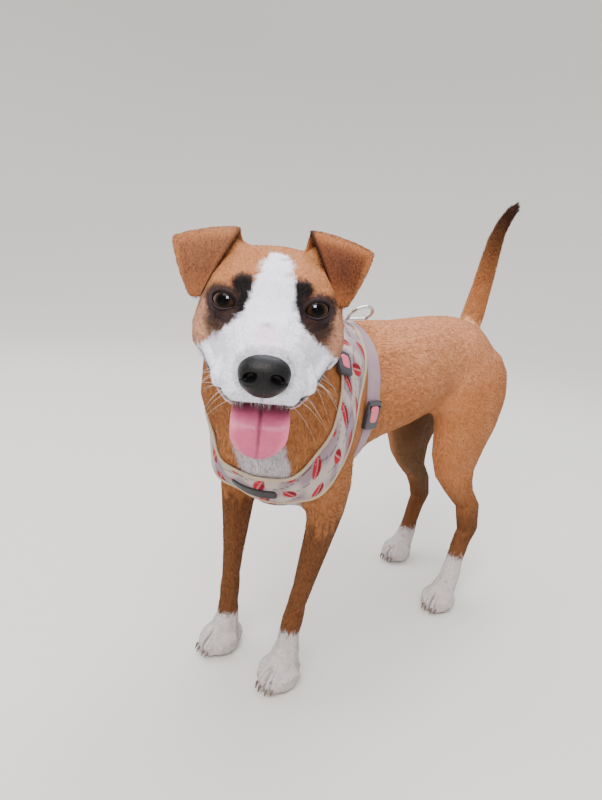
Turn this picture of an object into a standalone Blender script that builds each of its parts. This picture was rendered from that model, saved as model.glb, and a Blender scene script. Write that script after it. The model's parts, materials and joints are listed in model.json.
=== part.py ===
"""A small short-coated terrier standing at rest, life size, wearing a walking harness.

Metres, +Z up. The trunk lies along Y with the chest towards -Y, the dog's left side is +X, and the
head is turned to its left. Every form is lofted through named stations, fused into one body, smoothed,
and then parted with thin cuts into head, jaw, neck, trunk, tail and legs.
"""

import math

import bmesh
import bpy
import numpy as np
from mathutils import Euler, Matrix, Vector

# ---- driving dimensions ----
WITHERS = 0.350          # height of the back over the shoulders
GAP = 0.0003             # clear space between two solids that touch in life
VOXEL = 0.0026           # grain of the fused body before it is thinned
BODY_SHARE = 0.0195       # part of the fused faces that the thinned body keeps
RING_SIDES = 28          # points round each lofted ring

# ---- head: its own frame has -Y to the nose, +Z up and its origin between the eyes ----
HEAD_AT = Vector((0.0785, -0.2245, 0.3735))
HEAD_PITCH, HEAD_ROLL, HEAD_YAW = (math.radians(a) for a in (8.5, 2.2, 46.0))
EYE_AT = Vector((0.0254, 0.0035, 0.0022))
EYE_RADIUS = 0.0105
NOSE_AT = Vector((0.0, -0.0665, -0.0205))
JAW_HINGE = Vector((0.0, 0.038, -0.030))
JAW_OPEN = math.radians(14.0)

# ---- forequarters: how far they are turned to the dog's left ----
FORE_YAW = math.radians(17.0)

# ---- feet: where the middle of each paw stands ----
PAW_AT = {
    "left_fore": Vector((0.019, -0.129, 0.0)),
    "right_fore": Vector((-0.058, -0.140, 0.0)),
    "left_hind": Vector((0.054, 0.104, 0.0)),
    "right_hind": Vector((-0.047, 0.160, 0.0)),
}


PAWS = {"left_fore": (12, 1.0), "right_fore": (2, 1.0), "left_hind": (6, 0.94), "right_hind": (0, 0.94)}
TOES = ((-0.0142, -0.007, 14), (-0.0052, -0.0145, 4), (0.0052, -0.0145, -4), (0.0142, -0.007, -14))

# ---- face ----
EYE_TURN = math.radians(22.0)
EYE_SHOWS = 0.0030
EAR_TIP = Vector((0.0465, 0.0110, 0.0045))

# ---- finishes: linear colour, roughness, metallic ----
COAT = ((0.45, 0.19, 0.07), 0.80, 0.0)
CLAW = ((0.12, 0.09, 0.07), 0.40, 0.0)
WEBBING = ((0.70, 0.62, 0.50), 0.85, 0.0)
PLASTIC = ((0.03, 0.03, 0.035), 0.45, 0.0)
FINISH = {
    "left_eye": ((0.05, 0.02, 0.01), 0.10, 0.0),
    "right_eye": ((0.05, 0.02, 0.01), 0.10, 0.0),
    "nose": ((0.01, 0.01, 0.012), 0.45, 0.0),
    "tongue": ((0.65, 0.20, 0.22), 0.40, 0.0),
    "left_fore_claw": CLAW,
    "right_fore_claw": CLAW,
    "left_hind_claw": CLAW,
    "right_hind_claw": CLAW,
    "harness_neck_band": WEBBING,
    "harness_girth_strap": WEBBING,
    "harness_breast_strap": WEBBING,
    "d_ring": ((0.60, 0.60, 0.60), 0.25, 1.0),
    "neck_buckle": PLASTIC,
    "girth_buckle": PLASTIC,
    "label": PLASTIC,
}


# ---------------------------------------------------------------- small tools
def clear_scene():
    for obj in list(bpy.data.objects):
        bpy.data.objects.remove(obj)


def finish_material(name, colour, roughness, metallic=0.0):
    """A Principled BSDF of one plain colour, given as linear red, green and blue."""
    mat = bpy.data.materials.new(name)
    mat.use_nodes = True
    shader = mat.node_tree.nodes["Principled BSDF"]
    shader.inputs["Base Color"].default_value = (*colour, 1.0)
    shader.inputs["Roughness"].default_value = roughness
    shader.inputs["Metallic"].default_value = metallic
    return mat


def mesh_object(name, points, faces):
    mesh = bpy.data.meshes.new(name)
    mesh.from_pydata([tuple(p) for p in points], [], [tuple(f) for f in faces])
    mesh.update()
    obj = bpy.data.objects.new(name, mesh)
    bpy.context.scene.collection.objects.link(obj)
    return obj


def face_outwards(obj):
    bm = bmesh.new()
    bm.from_mesh(obj.data)
    bmesh.ops.recalc_face_normals(bm, faces=bm.faces)
    if bm.calc_volume(signed=True) < 0.0:
        bmesh.ops.reverse_faces(bm, faces=bm.faces)
    bm.to_mesh(obj.data)
    bm.free()


def loft(name, rings):
    """A closed skin through rings of equal point counts, with a fan over each end."""
    count = len(rings[0])
    points = np.concatenate([*rings, [np.mean(rings[0], 0)], [np.mean(rings[-1], 0)]])
    faces = []
    for level in range(len(rings) - 1):
        for i in range(count):
            j = (i + 1) % count
            a, b = level * count, (level + 1) * count
            faces.append((a + i, a + j, b + j, b + i))
    first, last = len(points) - 2, len(points) - 1
    top = (len(rings) - 1) * count
    for i in range(count):
        j = (i + 1) % count
        faces.append((first, j, i))
        faces.append((last, top + i, top + j))
    obj = mesh_object(name, points, faces)
    face_outwards(obj)
    return obj


def ring(centre, side, up, half_width, above, below, power=2.0):
    """A superellipse round centre: half_width along side, and its own reach above and below along up."""
    turn = np.linspace(0.0, 2.0 * math.pi, RING_SIDES, endpoint=False)
    c, s = np.cos(turn), np.sin(turn)
    x = np.sign(c) * np.abs(c) ** (2.0 / power) * half_width
    z = np.sign(s) * np.abs(s) ** (2.0 / power) * np.where(s > 0, above, below)
    return np.array(centre) + np.outer(x, side) + np.outer(z, up)


def ellipsoid(name, centre, radii, turn=(0.0, 0.0, 0.0), frame=Matrix.Identity(4), detail=3):
    bm = bmesh.new()
    bmesh.ops.create_icosphere(bm, subdivisions=detail, radius=1.0)
    place = Matrix.Translation(centre) @ Euler([math.radians(a) for a in turn]).to_matrix().to_4x4()
    bm.transform(frame @ place @ Matrix.Diagonal((*radii, 1.0)))
    mesh = bpy.data.meshes.new(name)
    bm.to_mesh(mesh)
    bm.free()
    obj = bpy.data.objects.new(name, mesh)
    bpy.context.scene.collection.objects.link(obj)
    return obj


def both_sides(name, centre, radii, turn=(0.0, 0.0, 0.0), frame=Matrix.Identity(4)):
    """The same muscle on the left and, mirrored, on the right."""
    x, y, z = centre
    a, b, c = turn
    return [
        ellipsoid(name + "_l", (x, y, z), radii, turn, frame),
        ellipsoid(name + "_r", (-x, y, z), radii, (a, -b, -c), frame),
    ]


def freeze(obj):
    """Puts what the modifiers make into the mesh."""
    bpy.context.view_layer.update()
    graph = bpy.context.evaluated_depsgraph_get()
    mesh = bpy.data.meshes.new_from_object(obj.evaluated_get(graph))
    mesh.transform(obj.matrix_world)
    obj.modifiers.clear()
    obj.data = mesh
    obj.matrix_world = Matrix.Identity(4)
    return obj


def boolean(obj, operation, cutter):
    change = obj.modifiers.new("cut", "BOOLEAN")
    change.operation = operation
    change.object = cutter
    change.solver = "EXACT"
    return freeze(obj)


def copy_of(obj, name):
    twin = bpy.data.objects.new(name, obj.data.copy())
    bpy.context.scene.collection.objects.link(twin)
    return twin


def swollen(obj, by):
    """A copy pushed outwards along its normals."""
    twin = copy_of(obj, obj.name + "_swollen")
    points = [v.co + v.normal * by for v in twin.data.vertices]
    for vertex, place in zip(twin.data.vertices, points):
        vertex.co = place
    return twin


def drop(*objects):
    for obj in objects:
        bpy.data.objects.remove(obj)


def clear_of(obj, other, by=GAP):
    """Cuts other, and a thin gap round it, out of obj."""
    cutter = swollen(other, by)
    boolean(obj, "DIFFERENCE", cutter)
    drop(cutter)


def largest_body(obj):
    """Keeps the biggest connected body of a cut mesh."""
    bm = bmesh.new()
    bm.from_mesh(obj.data)
    bm.verts.ensure_lookup_table()
    seen, groups = set(), []
    for start in bm.verts:
        if start in seen:
            continue
        group, stack = [], [start]
        seen.add(start)
        while stack:
            vertex = stack.pop()
            group.append(vertex)
            for edge in vertex.link_edges:
                other = edge.other_vert(vertex)
                if other not in seen:
                    seen.add(other)
                    stack.append(other)
        groups.append(group)
    groups.sort(key=len)
    for group in groups[:-1]:
        bmesh.ops.delete(bm, geom=group, context="VERTS")
    bm.to_mesh(obj.data)
    bm.free()


def fuse(name, pieces):
    """One closed body out of overlapping pieces."""
    bm = bmesh.new()
    for piece in pieces:
        bm.from_mesh(piece.data)
    mesh = bpy.data.meshes.new(name)
    bm.to_mesh(mesh)
    bm.free()
    drop(*pieces)
    obj = bpy.data.objects.new(name, mesh)
    bpy.context.scene.collection.objects.link(obj)
    grain = obj.modifiers.new("fuse", "REMESH")
    grain.mode = "VOXEL"
    grain.voxel_size = VOXEL
    return freeze(obj)


def head_frame():
    turn = Matrix.Rotation(HEAD_YAW, 4, "Z") @ Matrix.Rotation(HEAD_PITCH, 4, "X")
    return Matrix.Translation(HEAD_AT) @ turn @ Matrix.Rotation(HEAD_ROLL, 4, "Y")


HEAD = head_frame()
JAW = HEAD @ Matrix.Translation(JAW_HINGE) @ Matrix.Rotation(JAW_OPEN, 4, "X")


# ---------------------------------------------------------------- body forms
def fore_frame():
    """The forequarters: turned to the dog's left and a little across, ahead of the loin."""
    return Matrix.Translation((-0.008, -0.110, 0.0)) @ Matrix.Rotation(FORE_YAW, 4, "Z")


FORE = fore_frame()


def trunk_forms():
    """Deep narrow chest, level back, clear tuck-up. Each station: y, top, bottom, half width, power."""
    stations = (
        (-0.178, 0.262, 0.226, 0.018, 2.0),
        (-0.168, 0.286, 0.206, 0.036, 2.0),
        (-0.150, 0.314, 0.187, 0.059, 2.0),
        (-0.124, 0.338, 0.176, 0.064, 2.1),
        (-0.095, 0.348, 0.176, 0.060, 2.1),
        (-0.070, WITHERS, 0.187, 0.059, 2.1),
        (-0.040, 0.349, 0.204, 0.059, 2.0),
        (-0.010, 0.346, 0.218, 0.058, 2.0),
        (0.025, 0.345, 0.227, 0.056, 2.0),
        (0.060, 0.346, 0.232, 0.052, 2.0),
        (0.095, 0.347, 0.236, 0.048, 2.0),
        (0.130, 0.346, 0.239, 0.047, 2.0),
        (0.160, 0.342, 0.241, 0.047, 2.0),
        (0.185, 0.332, 0.244, 0.042, 2.0),
        (0.206, 0.315, 0.252, 0.034, 2.0),
        (0.221, 0.294, 0.264, 0.020, 2.0),
    )
    rings = []
    for y, top, bottom, half, power in stations:
        turned = min(1.0, max(0.0, (0.03 - y) / 0.12))
        turned = turned * turned * (3 - 2 * turned)
        side = Vector((math.cos(FORE_YAW * turned), math.sin(FORE_YAW * turned), 0.0))
        rise = bottom + (top - bottom) * 0.47
        middle = FORE @ Vector((0.0, y + 0.110, rise))
        middle = middle.lerp(Vector((0.0, y, rise)), 1.0 - turned)
        rings.append(ring(middle, side, (0, 0, 1), half, top - rise, rise - bottom, power))
    forms = [loft("trunk", rings)]
    forms += both_sides("shoulder_blade", (0.034, 0.018, 0.276), (0.0215, 0.036, 0.058), (-20, 8, 0), FORE)
    forms += both_sides("upper_arm", (0.040, -0.014, 0.226), (0.020, 0.036, 0.036), (34, 0, 0), FORE)
    forms += both_sides("croup_muscle", (0.022, 0.138, 0.296), (0.0285, 0.056, 0.038), (-10, 0, 0))
    forms += both_sides("loin_muscle", (0.020, 0.050, 0.314), (0.024, 0.100, 0.024))
    forms += both_sides("breast", (0.022, -0.044, 0.236), (0.026, 0.024, 0.034), (20, 0, 0), FORE)
    return forms


def neck_forms():
    """From the chest up and round to the skull. Each station: centre, yaw, half width, front, back."""
    stations = (
        ((-0.014, -0.129, 0.262), 17, 0.064, 0.046, 0.050),
        ((-0.009, -0.143, 0.286), 20, 0.062, 0.045, 0.054),
        ((0.0035, -0.156, 0.312), 27, 0.0545, 0.044, 0.050),
        ((0.025, -0.165, 0.338), 34, 0.042, 0.043, 0.044),
        ((0.036, -0.180, 0.360), 46, 0.041, 0.042, 0.038),
        ((0.044, -0.190, 0.374), 46, 0.036, 0.036, 0.030),
    )
    rings = []
    for i, (centre, yaw, half, front, back) in enumerate(stations):
        before = Vector(stations[max(i - 1, 0)][0])
        after = Vector(stations[min(i + 1, len(stations) - 1)][0])
        along = (after - before).normalized()
        side = Vector((math.cos(math.radians(yaw)), math.sin(math.radians(yaw)), 0.0))
        rear = along.cross(side).normalized()
        side = rear.cross(along).normalized()
        rings.append(ring(centre, side, rear, half, back, front, 2.1))
    return [loft("neck", rings)]


def head_forms():
    """Flat wide skull, clear stop, medium muzzle. Each station: y, top, bottom, half width, power."""
    stations = (
        (-0.0655, -0.0140, -0.0370, 0.0090, 2.0),
        (-0.0600, -0.0090, -0.0415, 0.0165, 2.3),
        (-0.0500, -0.0055, -0.0455, 0.0212, 2.5),
        (-0.0380, -0.0025, -0.0480, 0.0248, 2.6),
        (-0.0250, 0.0018, -0.0490, 0.0285, 2.6),
        (-0.0140, 0.0085, -0.0475, 0.0335, 2.5),
        (-0.0050, 0.0185, -0.0455, 0.0400, 2.4),
        (0.0060, 0.0262, -0.0445, 0.0455, 2.4),
        (0.0200, 0.0322, -0.0450, 0.0490, 2.4),
        (0.0380, 0.0338, -0.0440, 0.0480, 2.3),
        (0.0560, 0.0312, -0.0400, 0.0430, 2.2),
        (0.0720, 0.0270, -0.0300, 0.0340, 2.0),
        (0.0840, 0.0140, -0.0140, 0.0200, 2.0),
    )
    side = HEAD.to_3x3() @ Vector((1, 0, 0))
    up = HEAD.to_3x3() @ Vector((0, 0, 1))
    rings = []
    for y, top, bottom, half, power in stations:
        middle = (top + bottom) / 2
        centre = HEAD @ Vector((0, y, middle))
        rings.append(ring(centre, side, up, half, top - middle, middle - bottom, power))
    forms = [loft("skull", rings)]
    forms += both_sides("cheek", (0.036, 0.018, -0.022), (0.0165, 0.026, 0.024), (12, 0, 0), HEAD)
    forms += both_sides("brow", (0.0205, 0.006, 0.0135), (0.0130, 0.0135, 0.0090), (0, 18, 0), HEAD)
    forms += both_sides("lip_pad", (0.0135, -0.0470, -0.0320), (0.0125, 0.0175, 0.0135), (0, 0, 12), HEAD)
    forms += both_sides("cheek_lip", (0.0215, -0.0190, -0.0340), (0.0080, 0.0280, 0.0120), (4, 0, 20), HEAD)
    forms += both_sides("ear_root", (0.0290, 0.0410, 0.0250), (0.0120, 0.0140, 0.0120), (0, 0, 0), HEAD)
    return forms


def jaw_forms():
    """The lower jaw, in a frame that turns about its hinge. Each station: y, top, bottom, half width."""
    stations = (
        (-0.0925, -0.0165, -0.0240, 0.0060),
        (-0.0880, -0.0135, -0.0285, 0.0105),
        (-0.0780, -0.0130, -0.0310, 0.0135),
        (-0.0620, -0.0125, -0.0330, 0.0160),
        (-0.0440, -0.0110, -0.0350, 0.0200),
        (-0.0260, -0.0060, -0.0350, 0.0250),
        (-0.0080, 0.0000, -0.0300, 0.0290),
        (0.0100, 0.0050, -0.0200, 0.0280),
    )
    side = JAW.to_3x3() @ Vector((1, 0, 0))
    up = JAW.to_3x3() @ Vector((0, 0, 1))
    rings = []
    for y, top, bottom, half in stations:
        middle = (top + bottom) / 2
        rings.append(
            ring(JAW @ Vector((0, y, middle)), side, up, half, top - middle, middle - bottom, 2.3)
        )
    throat = ellipsoid("throat", (0.0, 0.030, -0.050), (0.030, 0.036, 0.020), (20, 0, 0), HEAD)
    return [loft("jaw", rings), throat]


def leg_rings(name, stations):
    """A limb through level rings. Each station: centre, half width, half depth."""
    return loft(
        name,
        [ring(at, (1, 0, 0), (0, 1, 0), half, deep, deep, 2.1) for at, half, deep in stations],
    )


def fore_leg(name, side):
    """Shoulder to foot, in the turned frame of the forequarters down to the elbow."""
    foot = PAW_AT[name]
    elbow = FORE @ Vector((side * 0.048, -0.006, 0.190))

    def high(across, along, z):
        return FORE @ Vector((side * across, along, z))

    def down(share, z):
        """A point on the line from elbow to foot, at height z."""
        return (elbow.x + (foot.x - elbow.x) * share, elbow.y + (foot.y + 0.006 - elbow.y) * share, z)

    stations = (
        (high(0.030, -0.004, 0.268), 0.020, 0.036),
        (high(0.039, -0.006, 0.234), 0.0205, 0.036),
        (high(0.045, -0.006, 0.204), 0.0180, 0.0300),
        (down(0.06, 0.184), 0.0162, 0.0235),
        (down(0.20, 0.160), 0.0148, 0.0196),
        (down(0.40, 0.132), 0.0130, 0.0158),
        (down(0.62, 0.102), 0.0108, 0.0122),
        (down(0.78, 0.082), 0.0102, 0.0112),
        (down(0.86, 0.068), 0.0116, 0.0122),
        (down(0.93, 0.053), 0.0112, 0.0108),
        (down(0.98, 0.036), 0.0125, 0.0112),
        ((foot.x, foot.y + 0.002, 0.022), 0.0150, 0.0150),
        ((foot.x, foot.y + 0.002, 0.010), 0.0150, 0.0150),
    )
    return leg_rings(name, stations)


def hind_leg(name, side, knee_y, hock_y):
    """Hip to instep. knee_y and hock_y say how far forward the leg is carried."""
    foot = PAW_AT[name]
    stations = (
        ((side * 0.030, 0.156, 0.304), 0.020, 0.048),
        ((side * 0.035, 0.153, 0.278), 0.026, 0.064),
        ((side * 0.039, 0.5 * (0.152 + knee_y + 0.060), 0.248), 0.0275, 0.069),
        ((side * 0.041, knee_y + 0.056, 0.216), 0.0255, 0.060),
        ((side * 0.041, knee_y + 0.045, 0.188), 0.0220, 0.048),
        ((side * 0.041, knee_y + 0.044, 0.162), 0.0182, 0.0350),
        ((side * 0.043, knee_y + 0.058, 0.138), 0.0150, 0.0262),
        ((side * 0.048, 0.5 * (knee_y + 0.070 + hock_y), 0.116), 0.0135, 0.0222),
        ((side * 0.049, hock_y - 0.004, 0.098), 0.0124, 0.0200),
        ((side * 0.049, hock_y, 0.083), 0.0124, 0.0186),
        ((side * 0.049, hock_y - 0.3 * (hock_y - foot.y - 0.012), 0.066), 0.0114, 0.0150),
        ((side * 0.5 * (0.049 + abs(foot.x)), hock_y - 0.62 * (hock_y - foot.y - 0.012), 0.047), 0.0112, 0.0126),
        ((foot.x, hock_y - 0.86 * (hock_y - foot.y - 0.012), 0.032), 0.0124, 0.0122),
        ((foot.x, foot.y + 0.006, 0.021), 0.0145, 0.0140),
        ((foot.x, foot.y + 0.004, 0.010), 0.0145, 0.0140),
    )
    return leg_rings(name, stations)


def paw_forms(name, heading, size):
    """A compact foot: four arched toes, the two middle ones leading, over a heel pad."""
    place = Matrix.Translation(PAW_AT[name]) @ Matrix.Rotation(math.radians(heading), 4, "Z")
    forms = [
        ellipsoid(name + "_heel", (0, 0.010, 0.011), (0.0145 * size, 0.0150 * size, 0.0120), frame=place),
        ellipsoid(name + "_instep", (0, -0.002, 0.020), (0.0135 * size, 0.0170 * size, 0.0105), (24, 0, 0), frame=place),
    ]
    for across, along, splay in TOES:
        forms.append(
            ellipsoid(
                f"{name}_toe",
                (across * size, along * size, 0.0104),
                (0.0066 * size, 0.0150 * size, 0.0108),
                (16, 0, splay),
                frame=place,
            )
        )
    return forms


def tail_forms():
    """A thick straight tail carried gaily, with its end bent back. Each station: centre, radius."""
    stations = (
        ((0.000, 0.168, 0.314), 0.0150),
        ((-0.002, 0.188, 0.330), 0.0152),
        ((-0.004, 0.201, 0.352), 0.0142),
        ((-0.005, 0.212, 0.378), 0.0132),
        ((-0.004, 0.220, 0.408), 0.0116),
        ((-0.003, 0.226, 0.434), 0.0098),
        ((0.000, 0.235, 0.456), 0.0085),
        ((0.005, 0.247, 0.472), 0.0074),
        ((0.008, 0.253, 0.479), 0.0052),
    )
    rings = []
    for i, (centre, radius) in enumerate(stations):
        before = Vector(stations[max(i - 1, 0)][0])
        after = Vector(stations[min(i + 1, len(stations) - 1)][0])
        along = (after - before).normalized()
        rear = along.cross(Vector((1, 0, 0))).normalized()
        side = rear.cross(along)
        rings.append(ring(centre, side, rear, radius, radius, radius))
    return [loft("tail", rings)]


def relax(obj, rounds, factor, weight=None):
    """Evens the surface. weight(x, y, z) says where, from 0 to 1."""
    change = obj.modifiers.new("relax", "SMOOTH")
    change.iterations = rounds
    change.factor = factor
    if weight is not None:
        group = obj.vertex_groups.new(name="relax")
        for vertex in obj.data.vertices:
            group.add([vertex.index], weight(vertex.co), "REPLACE")
        change.vertex_group = "relax"
    freeze(obj)
    obj.vertex_groups.clear()


def soft_places(co):
    """1 on the trunk and thighs, where the forms run into each other, 0 on the head and feet."""
    low = min(1.0, max(0.0, (co.z - 0.10) / 0.06))
    from_head = (co - HEAD_AT).length
    return low * min(1.0, max(0.0, (from_head - 0.075) / 0.05))


def above_feet(co):
    return min(1.0, max(0.0, (co.z - 0.045) / 0.03))


# ---------------------------------------------------------------- the body and how it parts
def whole_body():
    pieces = trunk_forms() + neck_forms() + head_forms() + tail_forms()
    pieces.append(fore_leg("left_fore", 1))
    pieces.append(fore_leg("right_fore", -1))
    pieces.append(hind_leg("left_hind", 1, 0.078, 0.161))
    pieces.append(hind_leg("right_hind", -1, 0.104, 0.203))
    for name, (heading, size) in PAWS.items():
        pieces += paw_forms(name, heading, size)
    body = fuse("body", pieces)
    relax(body, 4, 0.5)
    relax(body, 8, 0.5, above_feet)
    relax(body, 60, 0.5, soft_places)
    return body


def thin_out(obj, share):
    """Collapses edges until share of the faces is left, most of them where the surface bends."""
    change = obj.modifiers.new("thin", "DECIMATE")
    change.ratio = share
    freeze(obj)


def hull(name, points):
    bm = bmesh.new()
    for point in points:
        bm.verts.new(point)
    bmesh.ops.convex_hull(bm, input=bm.verts)
    mesh = bpy.data.meshes.new(name)
    bm.to_mesh(mesh)
    bm.free()
    obj = bpy.data.objects.new(name, mesh)
    bpy.context.scene.collection.objects.link(obj)
    face_outwards(obj)
    return obj


def block(name, lows, highs, frame=Matrix.Identity(4)):
    """A box between two corners, in a frame."""
    corners = [
        frame @ Vector((x, y, z)) for x in (lows[0], highs[0]) for y in (lows[1], highs[1]) for z in (lows[2], highs[2])
    ]
    return hull(name, corners)


def facing(point, normal):
    """A frame at point whose Z is the normal."""
    turn = Vector(normal).normalized().to_track_quat("Z", "Y")
    return Matrix.Translation(point) @ turn.to_matrix().to_4x4()


def part_off(body, name, region):
    """Takes what lies in the region off the body, with the gap left on the body's side."""
    part = copy_of(body, name)
    boolean(part, "INTERSECT", region)
    largest_body(part)
    clear_of(body, region, 1.8 * GAP)
    largest_body(body)
    drop(region)
    return part


def beyond(point, normal, half, reach):
    """The box that starts at point and runs along normal."""
    return block("region", (-half, -half, 0.0), (half, half, reach), facing(point, normal))


def part_body(body):
    """Every named piece of flesh, each cut from the fused body."""
    nodes = {}
    nodes["head"] = part_off(body, "head", beyond((0.020, -0.160, 0.330), (0.38, -0.51, 0.77), 0.130, 0.20))
    nodes["neck"] = part_off(body, "neck", beyond((0.000, -0.130, 0.303), (0.20, -0.68, 0.70), 0.085, 0.12))
    nodes["tail"] = part_off(body, "tail", beyond((-0.002, 0.190, 0.333), (-0.10, 0.48, 0.87), 0.026, 0.22))
    for name, (heading, size) in PAWS.items():
        x, y, z = PAW_AT[name]
        low = block("region", (x - 0.030, y - 0.040, -0.010), (x + 0.030, y + 0.042, 0.040))
        nodes[name + "_paw"] = part_off(body, name + "_paw", low)
    for name, side in (("left", 1), ("right", -1)):
        wrist = PAW_AT[name + "_fore"]
        arm = block("region", (-0.030 + wrist.x, -0.040 + wrist.y, 0.036), (0.030 + wrist.x, 0.040 + wrist.y, 0.070))
        nodes[name + "_pastern"] = part_off(body, name + "_pastern", arm)
        elbow = FORE @ Vector((side * 0.050, -0.002, 0.176))
        arm = beyond(elbow, (side * 0.06, 0.12, -1.0), 0.056, 0.130)
        nodes[name + "_forearm"] = part_off(body, name + "_forearm", arm)
    for name, side, knee_y, hock_y in (("left", 1, 0.078, 0.161), ("right", -1, 0.104, 0.203)):
        foot = PAW_AT[name + "_hind"]
        shank = hull(
            "region",
            [(side * x, y, z) for x in (0.020, 0.085) for y, z in (
                (foot.y - 0.030, 0.036), (hock_y + 0.035, 0.036), (hock_y + 0.035, 0.098), (foot.y - 0.030, 0.070))],
        )
        nodes[name + "_hock"] = part_off(body, name + "_hock", shank)
        shank = hull(
            "region",
            [(side * x, y, z) for x in (0.012, 0.090) for y, z in (
                (knee_y - 0.030, 0.060), (hock_y + 0.035, 0.060), (hock_y + 0.050, 0.190), (knee_y - 0.030, 0.160))],
        )
        nodes[name + "_shank"] = part_off(body, name + "_shank", shank)
        thigh = hull(
            "region",
            [(side * 0.0135, knee_y - 0.030, 0.120), (side * 0.090, knee_y - 0.030, 0.120),
             (side * 0.0135, 0.250, 0.120), (side * 0.090, 0.250, 0.120),
             (side * 0.0135, knee_y - 0.006, 0.236), (side * 0.090, knee_y - 0.020, 0.236),
             (side * 0.0135, 0.250, 0.236), (side * 0.090, 0.250, 0.236),
             (side * 0.040, 0.112, 0.322), (side * 0.090, 0.112, 0.322),
             (side * 0.040, 0.235, 0.322), (side * 0.090, 0.235, 0.322)],
        )
        nodes[name + "_thigh"] = part_off(body, name + "_thigh", thigh)
    body.name = "trunk"
    nodes["trunk"] = body
    return nodes


# ---------------------------------------------------------------- face
def eye_seat(body, side):
    """Where an eyeball sits: found on the face, sunk until a round window of it shows."""
    ahead = Vector((side * math.sin(EYE_TURN), -math.cos(EYE_TURN), 0.06)).normalized()
    start = Vector((side * EYE_AT.x, EYE_AT.y, EYE_AT.z))
    origin = HEAD @ (start + ahead * 0.06)
    direction = HEAD.to_3x3() @ -ahead
    hit, place, normal, index = body.ray_cast(origin, direction)
    return place + direction * (EYE_RADIUS - EYE_SHOWS)


def eyeball(name, place):
    return ellipsoid(name, place, (EYE_RADIUS,) * 3, detail=2)


def nose_pad():
    """A broad pad: wide wings above, narrowing below to the lip."""
    obj = ellipsoid("nose", (0, 0, 0), (1, 1, 1), detail=2)
    for vertex in obj.data.vertices:
        x, y, z = vertex.co
        wide = 0.0152 * (1.0 + 0.18 * z) * (1.0 if z > -0.2 else 1.0 + 0.35 * (z + 0.2))
        tall = 0.0108 if z > 0 else 0.0125
        vertex.co = HEAD @ (NOSE_AT + Vector((x * wide, y * 0.0088 + 0.10 * z * 0.010, z * tall)))
    return obj


def tongue_body():
    """Lies on the jaw, rolls over the lower lip and hangs. Each station: y, z, half width, half thickness."""
    stations = (
        (-0.0140, -0.0490, 0.0110, 0.0022),
        (-0.0300, -0.0500, 0.0150, 0.0026),
        (-0.0450, -0.0510, 0.0165, 0.0026),
        (-0.0540, -0.0528, 0.0170, 0.0025),
        (-0.0595, -0.0565, 0.0168, 0.0024),
        (-0.0622, -0.0615, 0.0160, 0.0022),
        (-0.0634, -0.0668, 0.0143, 0.0020),
        (-0.0640, -0.0708, 0.0112, 0.0018),
        (-0.0642, -0.0738, 0.0060, 0.0014),
    )
    rings = []
    for i, (y, z, half, thick) in enumerate(stations):
        before, after = stations[max(i - 1, 0)], stations[min(i + 1, len(stations) - 1)]
        along = Vector((0, after[0] - before[0], after[1] - before[1])).normalized()
        over = Vector((0, along.z, -along.y))
        if over.z < 0 and abs(over.z) > abs(over.y):
            over = -over
        turn = np.linspace(0, 2 * math.pi, 12, endpoint=False)
        local = [
            Vector((math.cos(t) * half, y, z)) + over * (math.sin(t) * thick - 0.0012 * math.cos(t) ** 2)
            for t in turn
        ]
        rings.append(np.array([HEAD @ p for p in local]))
    return loft("tongue", rings)


def ear(name, side, out):
    """A button ear: a cupped stalk up to the fold, then a triangular flap hanging forward.
    out carries the fold and the tip further from the skull."""
    aside = Vector((out, 0.0, -0.8 * out))
    across = 6
    levels = (0.0, 0.20, 0.36, 0.43, 0.49, 0.55, 0.66, 0.80, 0.92, 1.0)
    rows = len(levels)
    points = []
    for v in levels:
        for col in range(across):
            u = col / (across - 1)
            bow = 4 * u * (1 - u)
            root = Vector((0.019, 0.030, 0.026)).lerp(Vector((0.048, 0.040, 0.000)), u) + Vector((0.002, 0.017, 0.004)) * bow
            fold = Vector((0.0215, 0.0350, 0.0450)).lerp(Vector((0.0657, 0.0360, 0.0345)), u) + Vector((0.0, -0.002, 0.0022)) * bow + aside
            tip = EAR_TIP + aside + Vector((0.0080, 0.0020, 0.0)) * (u - 0.5) + Vector((0, 0, -0.0015)) * bow
            if v < 0.42:
                t = v / 0.42
                at = root.lerp(fold + Vector((0, 0.0065, -0.0030)), t) + Vector((0.001, 0.006, 0)) * (4 * t * (1 - t)) * bow
            elif v < 0.55:
                t = (v - 0.42) / 0.13
                at = (fold + Vector((0, 0.0065, -0.0030))).lerp(fold + Vector((0, -0.0010, -0.0012)), t)
                at += Vector((0, 0, 0.0032)) * 4 * t * (1 - t)
            else:
                t = (v - 0.55) / 0.45
                at = (fold + Vector((0, -0.0010, -0.0012))).lerp(tip, t)
                at += Vector((0.0012, -0.0052, 0.0015)) * 4 * t * (1 - t) * (0.55 + 0.45 * bow)
                at += Vector((0, -0.0022, 0)) * bow * (1 - t)
            points.append(HEAD @ Vector((side * at.x, at.y, at.z)))
    faces = [
        (r * across + c, r * across + c + 1, (r + 1) * across + c + 1, (r + 1) * across + c)
        for r in range(rows - 1) for c in range(across - 1)
    ]
    obj = mesh_object(name, points, faces)
    thick = obj.modifiers.new("thick", "SOLIDIFY")
    thick.thickness = 0.0020
    thick.offset = 0.0
    thick.use_even_offset = True
    freeze(obj)
    face_outwards(obj)
    return obj


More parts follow.
